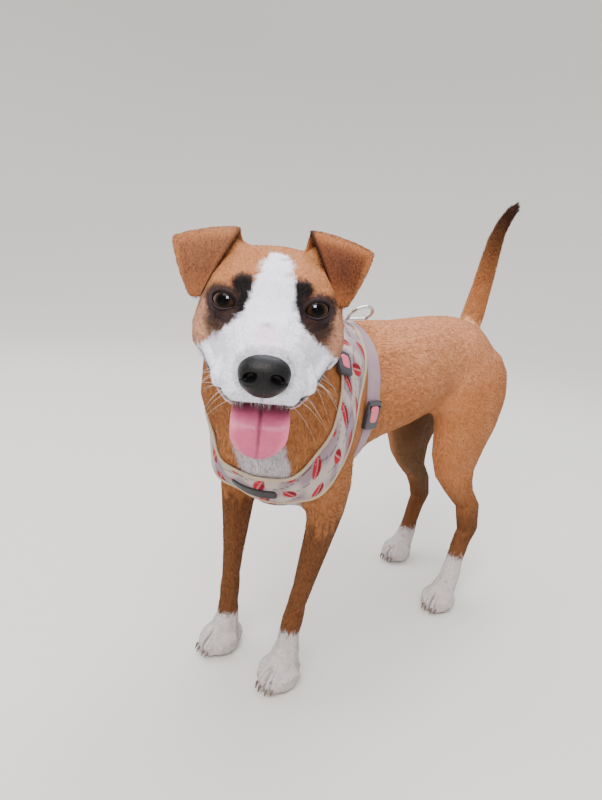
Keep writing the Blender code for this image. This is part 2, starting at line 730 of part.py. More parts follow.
def claws(name, heading, size, paw):
    """One short curved claw on the front of each toe, standing just clear of it."""
    place = Matrix.Translation(PAW_AT[name]) @ Matrix.Rotation(math.radians(heading), 4, "Z")
    made = {}
    for count, (across, along, splay) in enumerate(TOES, 1):
        toe = place @ Matrix.Translation((across * size, along * size, 0)) @ Matrix.Rotation(math.radians(splay), 4, "Z")
        back, ahead = toe.inverted(), 0.0
        for x, z in ((0, 0.0095), (0, 0.0113), (0, 0.0077), (0.0015, 0.0095), (-0.0015, 0.0095), (0.0015, 0.0077), (-0.0015, 0.0077)):
            hit, front, normal, index = paw.ray_cast(toe @ Vector((x, -0.06, z)), toe.to_3x3() @ Vector((0, 1, 0)))
            ahead = min(ahead, (back @ front).y)
        rings = []
        for y, z, radius in ((-0.0004, 0.0092, 0.0016), (-0.0022, 0.0080, 0.0014), (-0.0038, 0.0052, 0.0007)):
            corner = [math.radians(60 * k + 30) for k in range(6)]
            rings.append(np.array([
                toe @ Vector((math.cos(c) * radius * 0.8, ahead + y, z + math.sin(c) * radius)) for c in corner
            ]))
        claw = loft(f"{name}_claw_{count}", rings)
        made[claw.name] = claw
    return made


# ---------------------------------------------------------------- harness
def worn(name, inner, outer, region):
    """The part of a shell round the body that lies in the region."""
    band = copy_of(outer, name)
    boolean(band, "INTERSECT", region)
    boolean(band, "DIFFERENCE", inner)
    largest_body(band)
    drop(region)
    return band


def rounded_block(name, centre, half, frame, bevel=0.0015):
    obj = block(name, [-h for h in half], half, Matrix.Identity(4))
    edge = obj.modifiers.new("edge", "BEVEL")
    edge.width = bevel
    edge.segments = 1
    freeze(obj)
    obj.data.transform(frame @ Matrix.Translation(centre))
    face_outwards(obj)
    return obj


def seat_on(body, start, towards):
    """The place and the outward normal where a ray meets the body."""
    hit, place, normal, index = body.ray_cast(Vector(start), (Vector(towards) - Vector(start)).normalized())
    return place, normal


def bar_loop(name, corners, radius, frame, sides=8):
    """A closed wire through the corners, in a frame."""
    count = len(corners)
    points, faces = [], []
    for i in range(count):
        at, before, after = (Vector(corners[k % count]) for k in (i, i - 1, i + 1))
        along = ((at - before).normalized() + (after - at).normalized()).normalized()
        out = Vector((0, 1, 0))
        side = along.cross(out).normalized()
        for k in range(sides):
            turn = 2 * math.pi * k / sides
            points.append(frame @ (at + side * math.cos(turn) * radius + out * math.sin(turn) * radius))
    for i in range(count):
        for k in range(sides):
            a, b = i * sides, ((i + 1) % count) * sides
            faces.append((a + k, a + (k + 1) % sides, b + (k + 1) % sides, b + k))
    obj = mesh_object(name, points, faces)
    face_outwards(obj)
    return obj


def harness(body):
    """A padded neck band, a strap between the forelegs, a girth strap, and their fittings."""
    nodes = {}
    inner, outer = swollen(body, 0.0006), swollen(body, 0.0042)
    wedge = [(x, y, z) for x in (-0.11, 0.11) for y, z in ((-0.100, 0.1655), (-0.100, 0.120), (0.100, 0.4047), (0.075, 0.431))]
    nodes["harness_neck_band"] = worn("harness_neck_band", inner, outer, hull("region", [FORE @ Vector(p) for p in wedge]))
    girth = block("region", (-0.11, -0.0090, -0.11), (0.11, 0.0090, 0.11),
                  Matrix.Translation((0.002, -0.056, 0.270)) @ Matrix.Rotation(math.radians(10), 4, "Z") @ Matrix.Rotation(math.radians(-7), 4, "X"))
    nodes["harness_girth_strap"] = worn("harness_girth_strap", inner, outer, girth)
    breast = block("region", (-0.0115, -0.10, 0.15), (0.0115, 0.12, 0.232), FORE)
    nodes["harness_breast_strap"] = worn("harness_breast_strap", inner, outer, breast)
    clear_of(nodes["harness_girth_strap"], nodes["harness_neck_band"], GAP)
    largest_body(nodes["harness_girth_strap"])
    for other in ("harness_neck_band", "harness_girth_strap"):
        clear_of(nodes["harness_breast_strap"], nodes[other], GAP)
        largest_body(nodes["harness_breast_strap"])
    drop(inner, outer)
    return nodes


def fittings(body, nodes):
    """The ring on the back, two side-release buckles and a bare label, each just clear of its strap."""
    made = {}
    place, normal = seat_on(body, (0.006, -0.046, 0.45), (0.006, -0.046, 0.30))
    leaning = Matrix.Rotation(math.radians(76), 4, "Z") @ Matrix.Rotation(math.radians(48), 4, "X")
    upright = Matrix.Translation(place + Vector((0, 0, 0.0072))) @ leaning
    loop = [(-0.0110, 0, 0.0), (-0.0112, 0, 0.0040)]
    loop += [(0.0125 * math.cos(a), 0, 0.0075 + 0.0125 * math.sin(a)) for a in np.radians(np.arange(180, -1, -22.5))]
    loop += [(0.0112, 0, 0.0040), (0.0110, 0, 0.0)]
    made["d_ring"] = bar_loop("d_ring", loop, 0.0016, upright)
    for name, start, towards, half in (
        ("neck_buckle", (0.20, -0.15, 0.372), (0.0274, -0.0966, 0.3122), (0.0075, 0.0115, 0.0028)),
        ("girth_buckle", (0.25, -0.060, 0.27), (0.000, -0.054, 0.262), (0.0110, 0.0150, 0.0030)),
        ("label", (0.008, -0.40, 0.221), (0.007, -0.130, 0.205), (0.0150, 0.0052, 0.0007)),
    ):
        place, normal = seat_on(body, start, towards)
        lift = 0.0042 + GAP + half[2] + 0.0008
        frame = facing(place + normal * lift, normal)
        made[name] = rounded_block(name, (0, 0, 0), half, frame, min(0.0015, half[2] * 0.6))
    for fitting in made.values():
        for strap in ("harness_neck_band", "harness_girth_strap", "harness_breast_strap"):
            clear_of(nodes[strap], fitting, GAP)
    for strap in ("harness_neck_band", "harness_girth_strap", "harness_breast_strap"):
        largest_body(nodes[strap])
    return made


def main():
    clear_scene()
    body = whole_body()
    thin_out(body, BODY_SHARE)
    floor = block("floor", (-0.5, -0.5, -0.1), (0.5, 0.5, 0.0))
    boolean(body, "DIFFERENCE", floor)
    drop(floor)

    jaw = fuse("lower_jaw", jaw_forms())
    relax(jaw, 4, 0.5)
    thin_out(jaw, 0.05)
    tongue = tongue_body()
    nose = nose_pad()
    clear_of(jaw, tongue)
    clear_of(body, jaw)
    clear_of(body, tongue)
    clear_of(body, nose)
    eyes = {}
    for name, side in (("left_eye", 1), ("right_eye", -1)):
        eyes[name] = eyeball(name, eye_seat(body, side))
    for eye in eyes.values():
        clear_of(body, eye)
    ears = {}
    for name, side, out in (("left_ear", 1, 0.0), ("right_ear", -1, 0.0038)):
        ears[name] = ear(name, side, out)
        clear_of(ears[name], body)
        largest_body(ears[name])
    largest_body(body)

    straps = harness(body)
    straps.update(fittings(body, straps))
    nodes = part_body(body)
    for name, (heading, size) in PAWS.items():
        nodes.update(claws(name, heading, size, nodes[name + "_paw"]))
    nodes.update({"lower_jaw": jaw, "tongue": tongue, "nose": nose})
    nodes.update(eyes)
    nodes.update(ears)
    nodes.update(straps)

    lows = Vector((min(v.co[i] for o in nodes.values() for v in o.data.vertices) for i in range(3)))
    highs = Vector((max(v.co[i] for o in nodes.values() for v in o.data.vertices) for i in range(3)))
    centre = Matrix.Translation((-(lows.x + highs.x) / 2, -(lows.y + highs.y) / 2, -lows.z))
    for name, obj in nodes.items():
        obj.name = name
        obj.data.transform(centre)
        obj.data.materials.clear()
        colour, roughness, metallic = FINISH.get(name.split("_claw")[0] + "_claw" if "_claw" in name else name, COAT)
        obj.data.materials.append(finish_material("finish_" + name, colour, roughness, metallic))
    print("shift", [round(c, 6) for c in centre.translation])


main()
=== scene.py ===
# A life-size museum figure of a small tan and white terrier cross in a padded walking harness.
# Lengths are metres. +Y runs towards the tail, +X to the dog's left, and the paws stand on z = 0.
import json
import math

import bmesh
import bpy
import numpy as np
from mathutils import Matrix, Vector
from mathutils.bvhtree import BVHTree

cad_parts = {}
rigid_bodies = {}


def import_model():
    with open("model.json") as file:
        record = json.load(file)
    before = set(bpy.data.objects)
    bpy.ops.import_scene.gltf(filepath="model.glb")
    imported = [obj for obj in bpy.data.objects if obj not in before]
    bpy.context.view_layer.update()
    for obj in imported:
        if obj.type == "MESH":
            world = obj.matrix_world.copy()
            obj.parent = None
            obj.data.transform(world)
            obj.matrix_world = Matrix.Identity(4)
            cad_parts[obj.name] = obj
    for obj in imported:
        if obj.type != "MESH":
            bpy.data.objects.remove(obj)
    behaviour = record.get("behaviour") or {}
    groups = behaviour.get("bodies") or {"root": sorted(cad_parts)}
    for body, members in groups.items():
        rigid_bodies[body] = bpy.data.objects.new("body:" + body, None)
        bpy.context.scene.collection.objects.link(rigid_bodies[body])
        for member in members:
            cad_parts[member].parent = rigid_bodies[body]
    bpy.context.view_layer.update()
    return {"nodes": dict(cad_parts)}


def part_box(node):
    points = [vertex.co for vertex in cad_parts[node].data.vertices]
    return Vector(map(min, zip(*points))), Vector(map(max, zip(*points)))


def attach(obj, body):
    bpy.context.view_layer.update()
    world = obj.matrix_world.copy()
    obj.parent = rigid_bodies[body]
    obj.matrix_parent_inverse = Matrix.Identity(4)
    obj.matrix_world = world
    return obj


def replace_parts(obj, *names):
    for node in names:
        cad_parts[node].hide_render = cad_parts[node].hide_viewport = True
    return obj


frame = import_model()

# ---- places shared by every piece
shift = Vector((-0.02779, 0.014203, 0.0))       # from the dog's own middle to the row frame
headPose = {"at": (0.0785, -0.2245, 0.3735), "pitch": 8.5, "roll": 2.2, "yaw": 46.0}
forePose = {"at": (-0.008, -0.110, 0.0), "yaw": 17.0}
cameraPose = {"at": (0.356, -0.485, 0.417), "yaw": -43.3, "pitch": 15.1, "roll": 4.1, "focal": 592.0}


def placeOf(at, yaw=0.0, pitch=0.0, roll=0.0):
    # turned about its own Y, then X, then Z, in degrees, and moved to its place in the row frame
    place = Matrix.Translation(Vector(at) + shift)
    for axis, degrees in (("Z", yaw), ("X", pitch), ("Y", roll)):
        place = place @ Matrix.Rotation(math.radians(degrees), 4, axis)
    return place


headPlace = placeOf(**headPose)
forePlace = placeOf(**forePose)
headTurn = np.array(headPlace)[:3, :3]
foreTurn = np.array(forePlace)[:3, :3]
toHead = np.array(headPlace.inverted())
toFore = np.array(forePlace.inverted())


def moved(matrix, points):
    # each point times the matrix's turn, plus its shift
    m = np.array(matrix)
    return np.asarray(points) @ m[:3, :3].T + m[:3, 3]


# ---- small tools
def linear(hexColour):
    # sRGB byte values to the linear numbers that shaders use
    c = np.array([int(hexColour[i:i + 2], 16) for i in (1, 3, 5)]) / 255
    return np.where(c <= 0.04045, c / 12.92, ((c + 0.055) / 1.055) ** 2.4)


def rgba(hexColour):
    # linear, with full cover
    return (*linear(hexColour), 1.0)


def ramp(x, low, high):
    # 0 below low, 1 above high, an S curve between
    t = np.clip((x - low) / (high - low), 0, 1)
    return t * t * (3 - 2 * t)


def ripple(points, size, seed, waves=14):
    # a smooth random field from -1 to 1: the mean of sine waves in random directions about one size long
    rng = np.random.default_rng(seed)
    total = np.zeros(len(points))
    for _ in range(waves):
        way = rng.normal(size=3)
        way /= np.linalg.norm(way)
        pace = 2 * math.pi / (size * rng.uniform(0.6, 1.5))
        total += np.sin(points @ way * pace + rng.uniform(0, 6.28))
    return total / math.sqrt(waves)


def blend(a, b, share):
    # each row of a moved towards b by its share
    return a + (b - a) * share[:, None]


def gridFaces(rows, cols, wrapRows=False, wrapCols=False):
    # quads between neighbours of a rows by cols grid of points, closed round where it wraps
    r = np.arange(rows if wrapRows else rows - 1)[:, None]
    c = np.arange(cols if wrapCols else cols - 1)[None, :]
    r2, c2 = (r + 1) % rows, (c + 1) % cols
    return np.stack([r * cols + c, r * cols + c2, r2 * cols + c2, r2 * cols + c], -1).reshape(-1, 4)


def piece(name, points, faces, material, slot):
    # a smooth mesh from arrays of points and of faces that all have as many sides
    mesh = bpy.data.meshes.new(name)
    faces = np.asarray(faces, np.int32)
    mesh.vertices.add(len(points))
    mesh.vertices.foreach_set("co", np.asarray(points, np.float32).ravel())
    mesh.loops.add(faces.size)
    mesh.loops.foreach_set("vertex_index", faces.ravel())
    mesh.polygons.add(len(faces))
    mesh.polygons.foreach_set("loop_start", np.arange(0, faces.size, faces.shape[1], dtype=np.int32))
    mesh.update(calc_edges=True)
    mesh.polygons.foreach_set("use_smooth", np.ones(len(faces), bool))
    obj = bpy.data.objects.new(name, mesh)
    bpy.context.scene.collection.objects.link(obj)
    if material:
        mesh.materials.append(material)
    if slot:
        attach(obj, "root")
    return obj


def movePoints(obj, points):
    # the mesh's own points put to new places
    obj.data.vertices.foreach_set("co", np.asarray(points, np.float32).ravel())
    obj.data.update()


def closed(obj):
    # open ends get a face each, and all faces are turned outwards
    work = bmesh.new()
    work.from_mesh(obj.data)
    bmesh.ops.holes_fill(work, edges=[e for e in work.edges if e.is_boundary], sides=0)
    bmesh.ops.recalc_face_normals(work, faces=work.faces)
    for face in work.faces:
        face.smooth = True
    work.to_mesh(obj.data)
    work.free()
    return obj


def halved(quads):
    # each four-sided face cut into two triangles
    return np.vstack([quads[:, [0, 1, 2]], quads[:, [0, 2, 3]]])


def nodeMiddle(node):
    # the middle of a node's box
    return np.mean([list(corner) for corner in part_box(node)], axis=0)


def runLength(line):
    # the distance along a line up to each of its points
    return np.concatenate([[0], np.cumsum(np.linalg.norm(np.diff(line, axis=0), axis=1))])


def pairsOf(a, b):
    # two arrays spread over each other and stood side by side, one row for each pair
    return np.stack(np.broadcast_arrays(a, b), -1).reshape(-1, 2)


def pointsOf(mesh):
    # the mesh's points as rows
    co = np.empty(len(mesh.vertices) * 3, np.float32)
    mesh.vertices.foreach_get("co", co)
    return co.reshape(-1, 3).astype(float)


def trianglesOf(mesh):
    # three point numbers for each triangle
    mesh.calc_loop_triangles()
    tri = np.empty(len(mesh.loop_triangles) * 3, np.int32)
    mesh.loop_triangles.foreach_get("vertices", tri)
    return tri.reshape(-1, 3)


def edgesOf(mesh):
    # two point numbers for each edge
    ends = np.empty(len(mesh.edges) * 2, np.int32)
    mesh.edges.foreach_get("vertices", ends)
    return ends.reshape(-1, 2)


def normalsAt(points, tri):
    # the sum of the normals of the triangles round each point, made one long
    a, b, c = tri.T
    flat = np.cross(points[b] - points[a], points[c] - points[a])
    total = np.stack([sum(np.bincount(k, f, len(points)) for k in (a, b, c)) for f in flat.T], 1)
    return total / np.maximum(np.linalg.norm(total, axis=1, keepdims=True), 1e-12)


def neighbourMean(values, ends, count):
    # the mean of the values at the other ends of each point's edges
    a, b = ends.T
    total = np.stack([np.bincount(a, v[b], count) + np.bincount(b, v[a], count) for v in values.T], 1)
    return total / np.maximum(np.bincount(ends.ravel(), minlength=count), 1)[:, None]


def relaxed(points, ends, rounds, share):
    # each round moves every point towards its neighbours' mean, then a little back, so that the form keeps
    # its size
    share = share[:, None]
    for _ in range(rounds):
        for step in (0.55, -0.56):
            points = points + step * share * (neighbourMean(points, ends, len(points)) - points)
    return points


def unit(v):
    # each row made one long
    return v / np.maximum(np.linalg.norm(v, axis=-1, keepdims=True), 1e-12)


def addColour(obj, name, colours):
    # a colour for each point
    layer = obj.data.color_attributes.new(name, "FLOAT_COLOR", "POINT")
    full = np.column_stack([colours, np.ones(len(colours))])
    layer.data.foreach_set("color", full.astype(np.float32).ravel())


def addUv(obj, name, perPoint):
    # a map whose corners take the places of their points
    layer = obj.data.uv_layers.new(name=name)
    corner = np.empty(len(obj.data.loops), np.int32)
    obj.data.loops.foreach_get("vertex_index", corner)
    layer.data.foreach_set("uv", perPoint[corner].astype(np.float32).ravel())


def newMaterial(name):
    # a material and its shader
    material = bpy.data.materials.new(name)
    material.use_nodes = True
    return material, material.node_tree.nodes["Principled BSDF"]


def wire(material, node, links=None, **values):
    # values by socket or property name, links from other nodes' sockets
    for key, value in values.items():
        if hasattr(node, key):
            setattr(node, key, value)
        else:
            node.inputs[key.replace("_", " ")].default_value = value
    for socket, source in (links or {}).items():
        material.node_tree.links.new(source, node.inputs[socket])
    return node


def add(material, kind, links=None, **values):
    # one new node with its settings and links
    return wire(material, material.node_tree.nodes.new(kind), links, **values)


def setStops(node, stops):
    # a colour ramp's stops by place
    band = node.color_ramp
    while len(band.elements) > 1:
        band.elements.remove(band.elements[0])
    band.elements[0].position, band.elements[0].color = stops[0][0], rgba(stops[0][1])
    for place, colour in stops[1:]:
        band.elements.new(place).color = rgba(colour)


# ---- camera, at the height of the dog's head and half a metre from its face
def placeCamera():
    # looks along yaw and pitch from its place, then rolls about that line
    yaw, pitch, roll = (math.radians(cameraPose[k]) for k in ("yaw", "pitch", "roll"))
    ahead = Vector((math.sin(yaw) * math.cos(pitch), math.cos(yaw) * math.cos(pitch), -math.sin(pitch)))
    right = Vector((math.cos(yaw), -math.sin(yaw), 0))
    up = right.cross(ahead)
    across = right * math.cos(roll) + up * math.sin(roll)
    above = up * math.cos(roll) - right * math.sin(roll)
    data = bpy.data.cameras.new("camera")
    data.sensor_fit = "VERTICAL"
    data.sensor_height = 36
    data.lens = 36 * cameraPose["focal"] / 800
    data.clip_start = 0.01
    camera = bpy.data.objects.new("camera", data)
    bpy.context.scene.collection.objects.link(camera)
    turn = Matrix((across, above, -ahead)).transposed().to_4x4()
    camera.matrix_world = Matrix.Translation(Vector(cameraPose["at"]) + shift) @ turn
    bpy.context.scene.camera = camera
    return camera


camera = placeCamera()
print("camera placed")

# ---- skin: one mesh over all the flesh
skinPlan = {
    "grain": 0.0015,            # voxel of the fused skin
    "share": 0.325,             # part of the fused faces that is kept
    "grow": 0.0003,             # bridges the thin gaps between solids
    "bodyDepth": 0.0016,        # how far the skin lies under the tips of the coat
    "faceDepth": 0.0006,
    "pawDepth": 0.0005,
    "tailDepth": 0.0006,
}
legParts = {"Fore": ("forearm", "pastern", "fore_paw"), "Hind": ("thigh", "shank", "hock", "hind_paw")}
legNodes = [f"{side}_{part}" for side in ("left", "right") for part in legParts["Hind"] + legParts["Fore"]]
feet = ("left_fore", "right_fore", "left_hind", "right_hind")
fleshNodes = ["head", "lower_jaw", "neck", "trunk", "tail"] + legNodes
earNodes = ["left_ear", "right_ear"]

# the edge of the upper lip, from the middle to the corner of the mouth, in the head's frame, dog's left
lipLine = np.array([
    (0.0, -60.0, -41.0), (10.0, -57.5, -42.5), (19.0, -48.0, -44.5), (25.0, -35.0, -45.5),
    (31.0, -21.0, -44.0), (37.5, -9.0, -38.5), (42.5, 1.0, -31.5), (44.5, 9.0, -25.0),
]) * 0.001
lipRoll = (0.0040, 0.0046, 0.0052, 0.0055, 0.0056, 0.0056, 0.0055, 0.0040)


def solidOf(name, grow=0.0):
    # a node's points with doubles merged, moved out along their normals
    mesh = frame["nodes"][name].data
    co, tri = pointsOf(mesh), trianglesOf(mesh)
    cells = np.round(co * 2e5).astype(np.int64)
    _, first, back = np.unique(cells, axis=0, return_index=True, return_inverse=True)
    co, tri = co[first], back.ravel()[tri]
    tri = tri[(tri[:, 0] != tri[:, 1]) & (tri[:, 1] != tri[:, 2]) & (tri[:, 2] != tri[:, 0])]
    return co + normalsAt(co, tri) * grow, tri


def evaluated(obj):
    # the mesh as its modifiers leave it
    graph = bpy.context.evaluated_depsgraph_get()
    return bpy.data.meshes.new_from_object(obj.evaluated_get(graph))


def applied(obj):
    # the mesh that the modifiers give becomes the object's own
    mesh = evaluated(obj)
    obj.modifiers.clear()
    obj.data = mesh


def smoothCurve(knots, values, where):
    # a cubic through the knots whose slope at each is that between its neighbours
    knots, values = np.asarray(knots, float), np.asarray(values, float)
    slope = np.gradient(values, knots)
    i = np.clip(np.searchsorted(knots, where) - 1, 0, len(knots) - 2)
    gap = knots[i + 1] - knots[i]
    t = (where - knots[i]) / gap
    fromA = values[i] * (1 + 2 * t) * (1 - t) ** 2 + slope[i] * gap * t * (1 - t) ** 2
    return fromA + values[i + 1] * t ** 2 * (3 - 2 * t) + slope[i + 1] * gap * t ** 2 * (t - 1)


def tube(line, radius, sides=12, squash=1.0, above=(0, 0, 1)):
    # a round section carried along a line; squash flattens it along its own up
    line, radius = np.asarray(line, float), np.broadcast_to(radius, len(line))
    ahead = unit(np.gradient(line, axis=0))
    side = unit(np.cross(ahead, np.asarray(above, float)))
    up = np.cross(side, ahead)
    turn = np.linspace(0, 2 * math.pi, sides, endpoint=False)
    ring = np.cos(turn)[None, :, None] * side[:, None] + squash * np.sin(turn)[None, :, None] * up[:, None]
    points = line[:, None] + ring * radius[:, None, None]
    return points.reshape(-1, 3), gridFaces(len(line), sides, False, True)


def lipCurve(side, count, inward=0.0, down=0.0):
    # the lip line read off evenly, drawn inwards and lowered
    at = np.linspace(0, 7, count)
    line = np.stack([smoothCurve(np.arange(8.0), lipLine[:, k], at) for k in range(3)], 1)
    out = unit(np.column_stack([line[:, 0], line[:, 1] + 0.02, 0 * at]))
    line = line - out * inward + np.array([0, 0, -down])
    return moved(headPlace, line * np.array([side, 1, 1])), at


def lipForms():
    # a roll under each half of the upper lip, closed by a fan of triangles at both ends
    forms = []
    for side in (1, -1):
        line, at = lipCurve(side, 30, 0.0040, -0.0042)
        points, quads = tube(line, np.interp(at, np.arange(8), lipRoll))
        count, first = len(points), np.arange(12)
        after = (first + 1) % 12
        capA = np.column_stack([np.full(12, count), after, first])
        capB = np.column_stack([np.full(12, count + 1), count - 12 + first, count - 12 + after])
        forms.append((np.vstack([points, line[0], line[-1]]), np.vstack([halved(quads), capA, capB])))
    return forms


def fusedFlesh():
    # lip rolls, solids of flesh and eyes, which fill their sockets, all fused on a fine grid of cells
    forms = [(points, tri, 0) for points, tri in lipForms()]
    forms += [(*solidOf(name, skinPlan["grow"]), index) for index, name in enumerate(fleshNodes)]
    forms += [(*solidOf(f"{side}_eye", skinPlan["grow"]), 0) for side in ("left", "right")]
    starts = np.cumsum([0] + [len(points) for points, _, _ in forms])
    allPoints = np.vstack([points for points, _, _ in forms])
    allFaces = np.vstack([tri + start for (_, tri, _), start in zip(forms, starts)])
    obj = piece("skin", allPoints, allFaces, None, None)
    mod = obj.modifiers.new("fuse", "REMESH")
    mod.mode = "VOXEL"
    mod.voxel_size = skinPlan["grain"]
    applied(obj)
    return obj, allPoints, np.concatenate([np.full(len(points), index) for points, _, index in forms])


def endsWith(names, word):
    # which of the names end with the word
    return np.char.endswith(names, word)


def nearestLabel(points, marks, labels):
    # the label of the closest mark, in slices, by |a|^2 - 2ab
    out = np.empty(len(points), int)
    for start in range(0, len(points), 4000):
        p = points[start:start + 4000]
        out[start:start + 4000] = labels[np.argmin((marks ** 2).sum(1)[None] - 2 * p @ marks.T, 1)]
    return out


skin, fleshMarks, fleshLabels = fusedFlesh()
print("skin fused", len(skin.data.polygons))

# ---- the face, in the head's own frame: +X to the dog's left, -Y out along the muzzle
eyePlan = {
    "radius": 0.0105,
    "turn": {"left": 14.0, "right": 21.0},      # degrees outwards that the lids face
    "rise": 14.0,
    "halfLong": 0.0074,         # the opening between the lids
    "halfUp": 0.0046,
    "halfDown": 0.0044,
    "sunk": 0.0008,             # deeper than the plain solid, whose lids are missing
}


def eyeCentre(side):
    # the middle of the eye's solid, let in a little
    low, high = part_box(f"{side}_eye")
    return (Vector(low) + Vector(high)) / 2 - Vector(eyeAxes(side)[2]) * eyePlan["sunk"]


def eyeAxes(side):
    # columns: along the lids towards the outer corner, up, and out of the head
    way = 1 if side == "left" else -1
    turn, rise = math.radians(eyePlan["turn"][side]), math.radians(eyePlan["rise"])
    out = Vector((way * math.sin(turn), -math.cos(turn), math.tan(rise))).normalized()
    along = Vector((way, 0.32, 0.10))
    along = (along - out * along.dot(out)).normalized()
    up = out.cross(along) * (1 if way > 0 else -1)
    if up.z < 0:
        up = -up
    turn = headPlace.to_3x3()
    return np.array([turn @ along, turn @ up, turn @ out])


def intoEye(points, side):
    # places in the eye's own frame: along the lids, up, and out
    return (points - np.array(eyeCentre(side))) @ eyeAxes(side).T


def outOfEye(local, side):
    # the other way
    return local @ eyeAxes(side) + np.array(eyeCentre(side))


def lidOpening(angle):
    # an almond: the inner corner is drawn out and hangs a little, the upper arc is the higher one
    x = eyePlan["halfLong"] * np.cos(angle)
    tall = np.where(np.sin(angle) > 0, eyePlan["halfUp"], eyePlan["halfDown"])
    y = tall * np.sin(angle) * (1 - 0.10 * np.cos(angle) ** 2)
    inner = np.clip(-np.cos(angle), 0, 1) ** 6
    return x - 0.0012 * inner, y - 0.0008 * inner


def openingReach(x, y):
    # how far a place in the lid plane lies outside the opening, below 0 within it
    angle = np.arctan2(y / np.where(y > 0, eyePlan["halfUp"], eyePlan["halfDown"]), x / eyePlan["halfLong"])
    ex, ey = lidOpening(angle)
    return np.hypot(x, y) - np.hypot(ex, ey)


def seatedHeight(x, y, face):
    # the face drawn smoothly over a ball a little larger than the eye: a soft maximum of the two heights
    flat = np.hypot(x, y)
    # past the bend the ball goes on as a straight slope
    radius, bend = eyePlan["radius"] + 0.0005, 0.0085
    ball = np.sqrt(np.maximum(radius ** 2 - np.minimum(flat, bend) ** 2, 0.0))
    ball = ball - bend / math.sqrt(radius ** 2 - bend ** 2) * np.maximum(flat - bend, 0.0)
    full = 0.5 * (ball + face + np.sqrt((ball - face) ** 2 + 0.0014 ** 2))
    full = face + (full - face) * (1 - ramp(flat, 0.012, 0.019))
    crease = np.exp(-((openingReach(x, y) - 0.0033) / 0.0008) ** 2) * ramp(y, 0.001, 0.005)
    return full - 0.0004 * crease


def seatEyes(points):
    # the face is seated round each eye, let down a little under the bare lid and well down in the opening
    for side in ("left", "right"):
        local = intoEye(points, side)
        near = (np.hypot(local[:, 0], local[:, 1]) < 0.020) & (local[:, 2] > -0.004)
        x, y, z = local[near].T
        reach = openingReach(x, y)
        under = np.sqrt(np.maximum((eyePlan["radius"] - 0.0022) ** 2 - x ** 2 - y ** 2, 0.0))
        full = seatedHeight(x, y, z) - 0.0005 * (1 - ramp(reach, 0.0014, 0.0024))
        local[near, 2] = under + (full - under) * ramp(reach, 0.0002, 0.0012)
        points = np.where(near[:, None], outOfEye(local, side), points)
    return points


def faceHeight(tree, side, x, y):
    # how high the plain face stands at places of the lid plane
    starts = outOfEye(np.stack([x, y, np.full(x.shape, 0.030)], -1).reshape(-1, 3), side)
    down = Vector(-eyeAxes(side)[2])
    far = [tree.ray_cast(Vector(start), down)[3] for start in starts]
    return 0.030 - np.array([f if f else 0.030 for f in far]).reshape(x.shape)


def lidReach(points):
    # how far places lie outside the opening of the nearer eye
    reach = np.full(len(points), 1.0)
    for side in ("left", "right"):
        local = intoEye(points, side)
        near = (np.hypot(local[:, 0], local[:, 1]) < 0.016) & (local[:, 2] > 0)
        reach = np.where(near, np.minimum(reach, openingReach(local[:, 0], local[:, 1])), reach)
    return reach


def shapeSkin(obj):
    # the fused grid is eased, least on the paws, and sunk along its normals by the coat's depth
    mesh = obj.data
    points, ends = pointsOf(mesh), edgesOf(mesh)
    labels = nearestLabel(points, fleshMarks, fleshLabels)
    name = np.array(fleshNodes)[labels]
    isPaw = endsWith(name, "paw")
    isHead = np.isin(name, ["head", "lower_jaw"])
    share = np.where(isPaw, 0.22, np.where(isHead, 0.9, 1.0))
    share = neighbourMean(share[:, None], ends, len(points))[:, 0]
    points = relaxed(points, ends, 9, share)
    body = ~(isPaw | isHead)
    points = relaxed(points, ends, 22, body.astype(float))
    depth = np.where(name == "tail", skinPlan["tailDepth"], skinPlan["bodyDepth"])
    depth = np.where(isPaw, skinPlan["pawDepth"], np.where(isHead, skinPlan["faceDepth"], depth))
    for _ in range(12):
        depth = neighbourMean(depth[:, None], ends, len(points))[:, 0]
    depth += skinPlan["grow"]
    tri = trianglesOf(mesh)
    movePoints(obj, points - normalsAt(points, tri) * depth[:, None])


def thinned(obj, share):
    # edges are folded up until this share of the faces is left
    mod = obj.modifiers.new("thin", "DECIMATE")
    mod.ratio = share
    applied(obj)


def refined(obj, centre, reach):
    # the edges within reach of a place are halved
    work = bmesh.new()
    work.from_mesh(obj.data)
    edges = [e for e in work.edges if all((v.co - centre).length < reach for v in e.verts)]
    bmesh.ops.subdivide_edges(work, edges=edges, cuts=1, use_grid_fill=True, smooth=0.0)
    bmesh.ops.triangulate(work, faces=[f for f in work.faces if len(f.verts) > 3])
    work.to_mesh(obj.data)
    work.free()


toePlan = {
    "groove": 0.0019,           # depth between two toes
    "narrow": 0.0011,
    "swell": 0.0009,            # height of a toe
    "wide": 0.0026,
    "pivot": 0.012,             # the toes fan out from here, behind the middle of the paw
}


def footPlaces(foot):
    # the middles of a foot's four claws and of its paw
    return np.array([nodeMiddle(f"{foot}_claw_{k}") for k in range(1, 5)]), nodeMiddle(f"{foot}_paw")


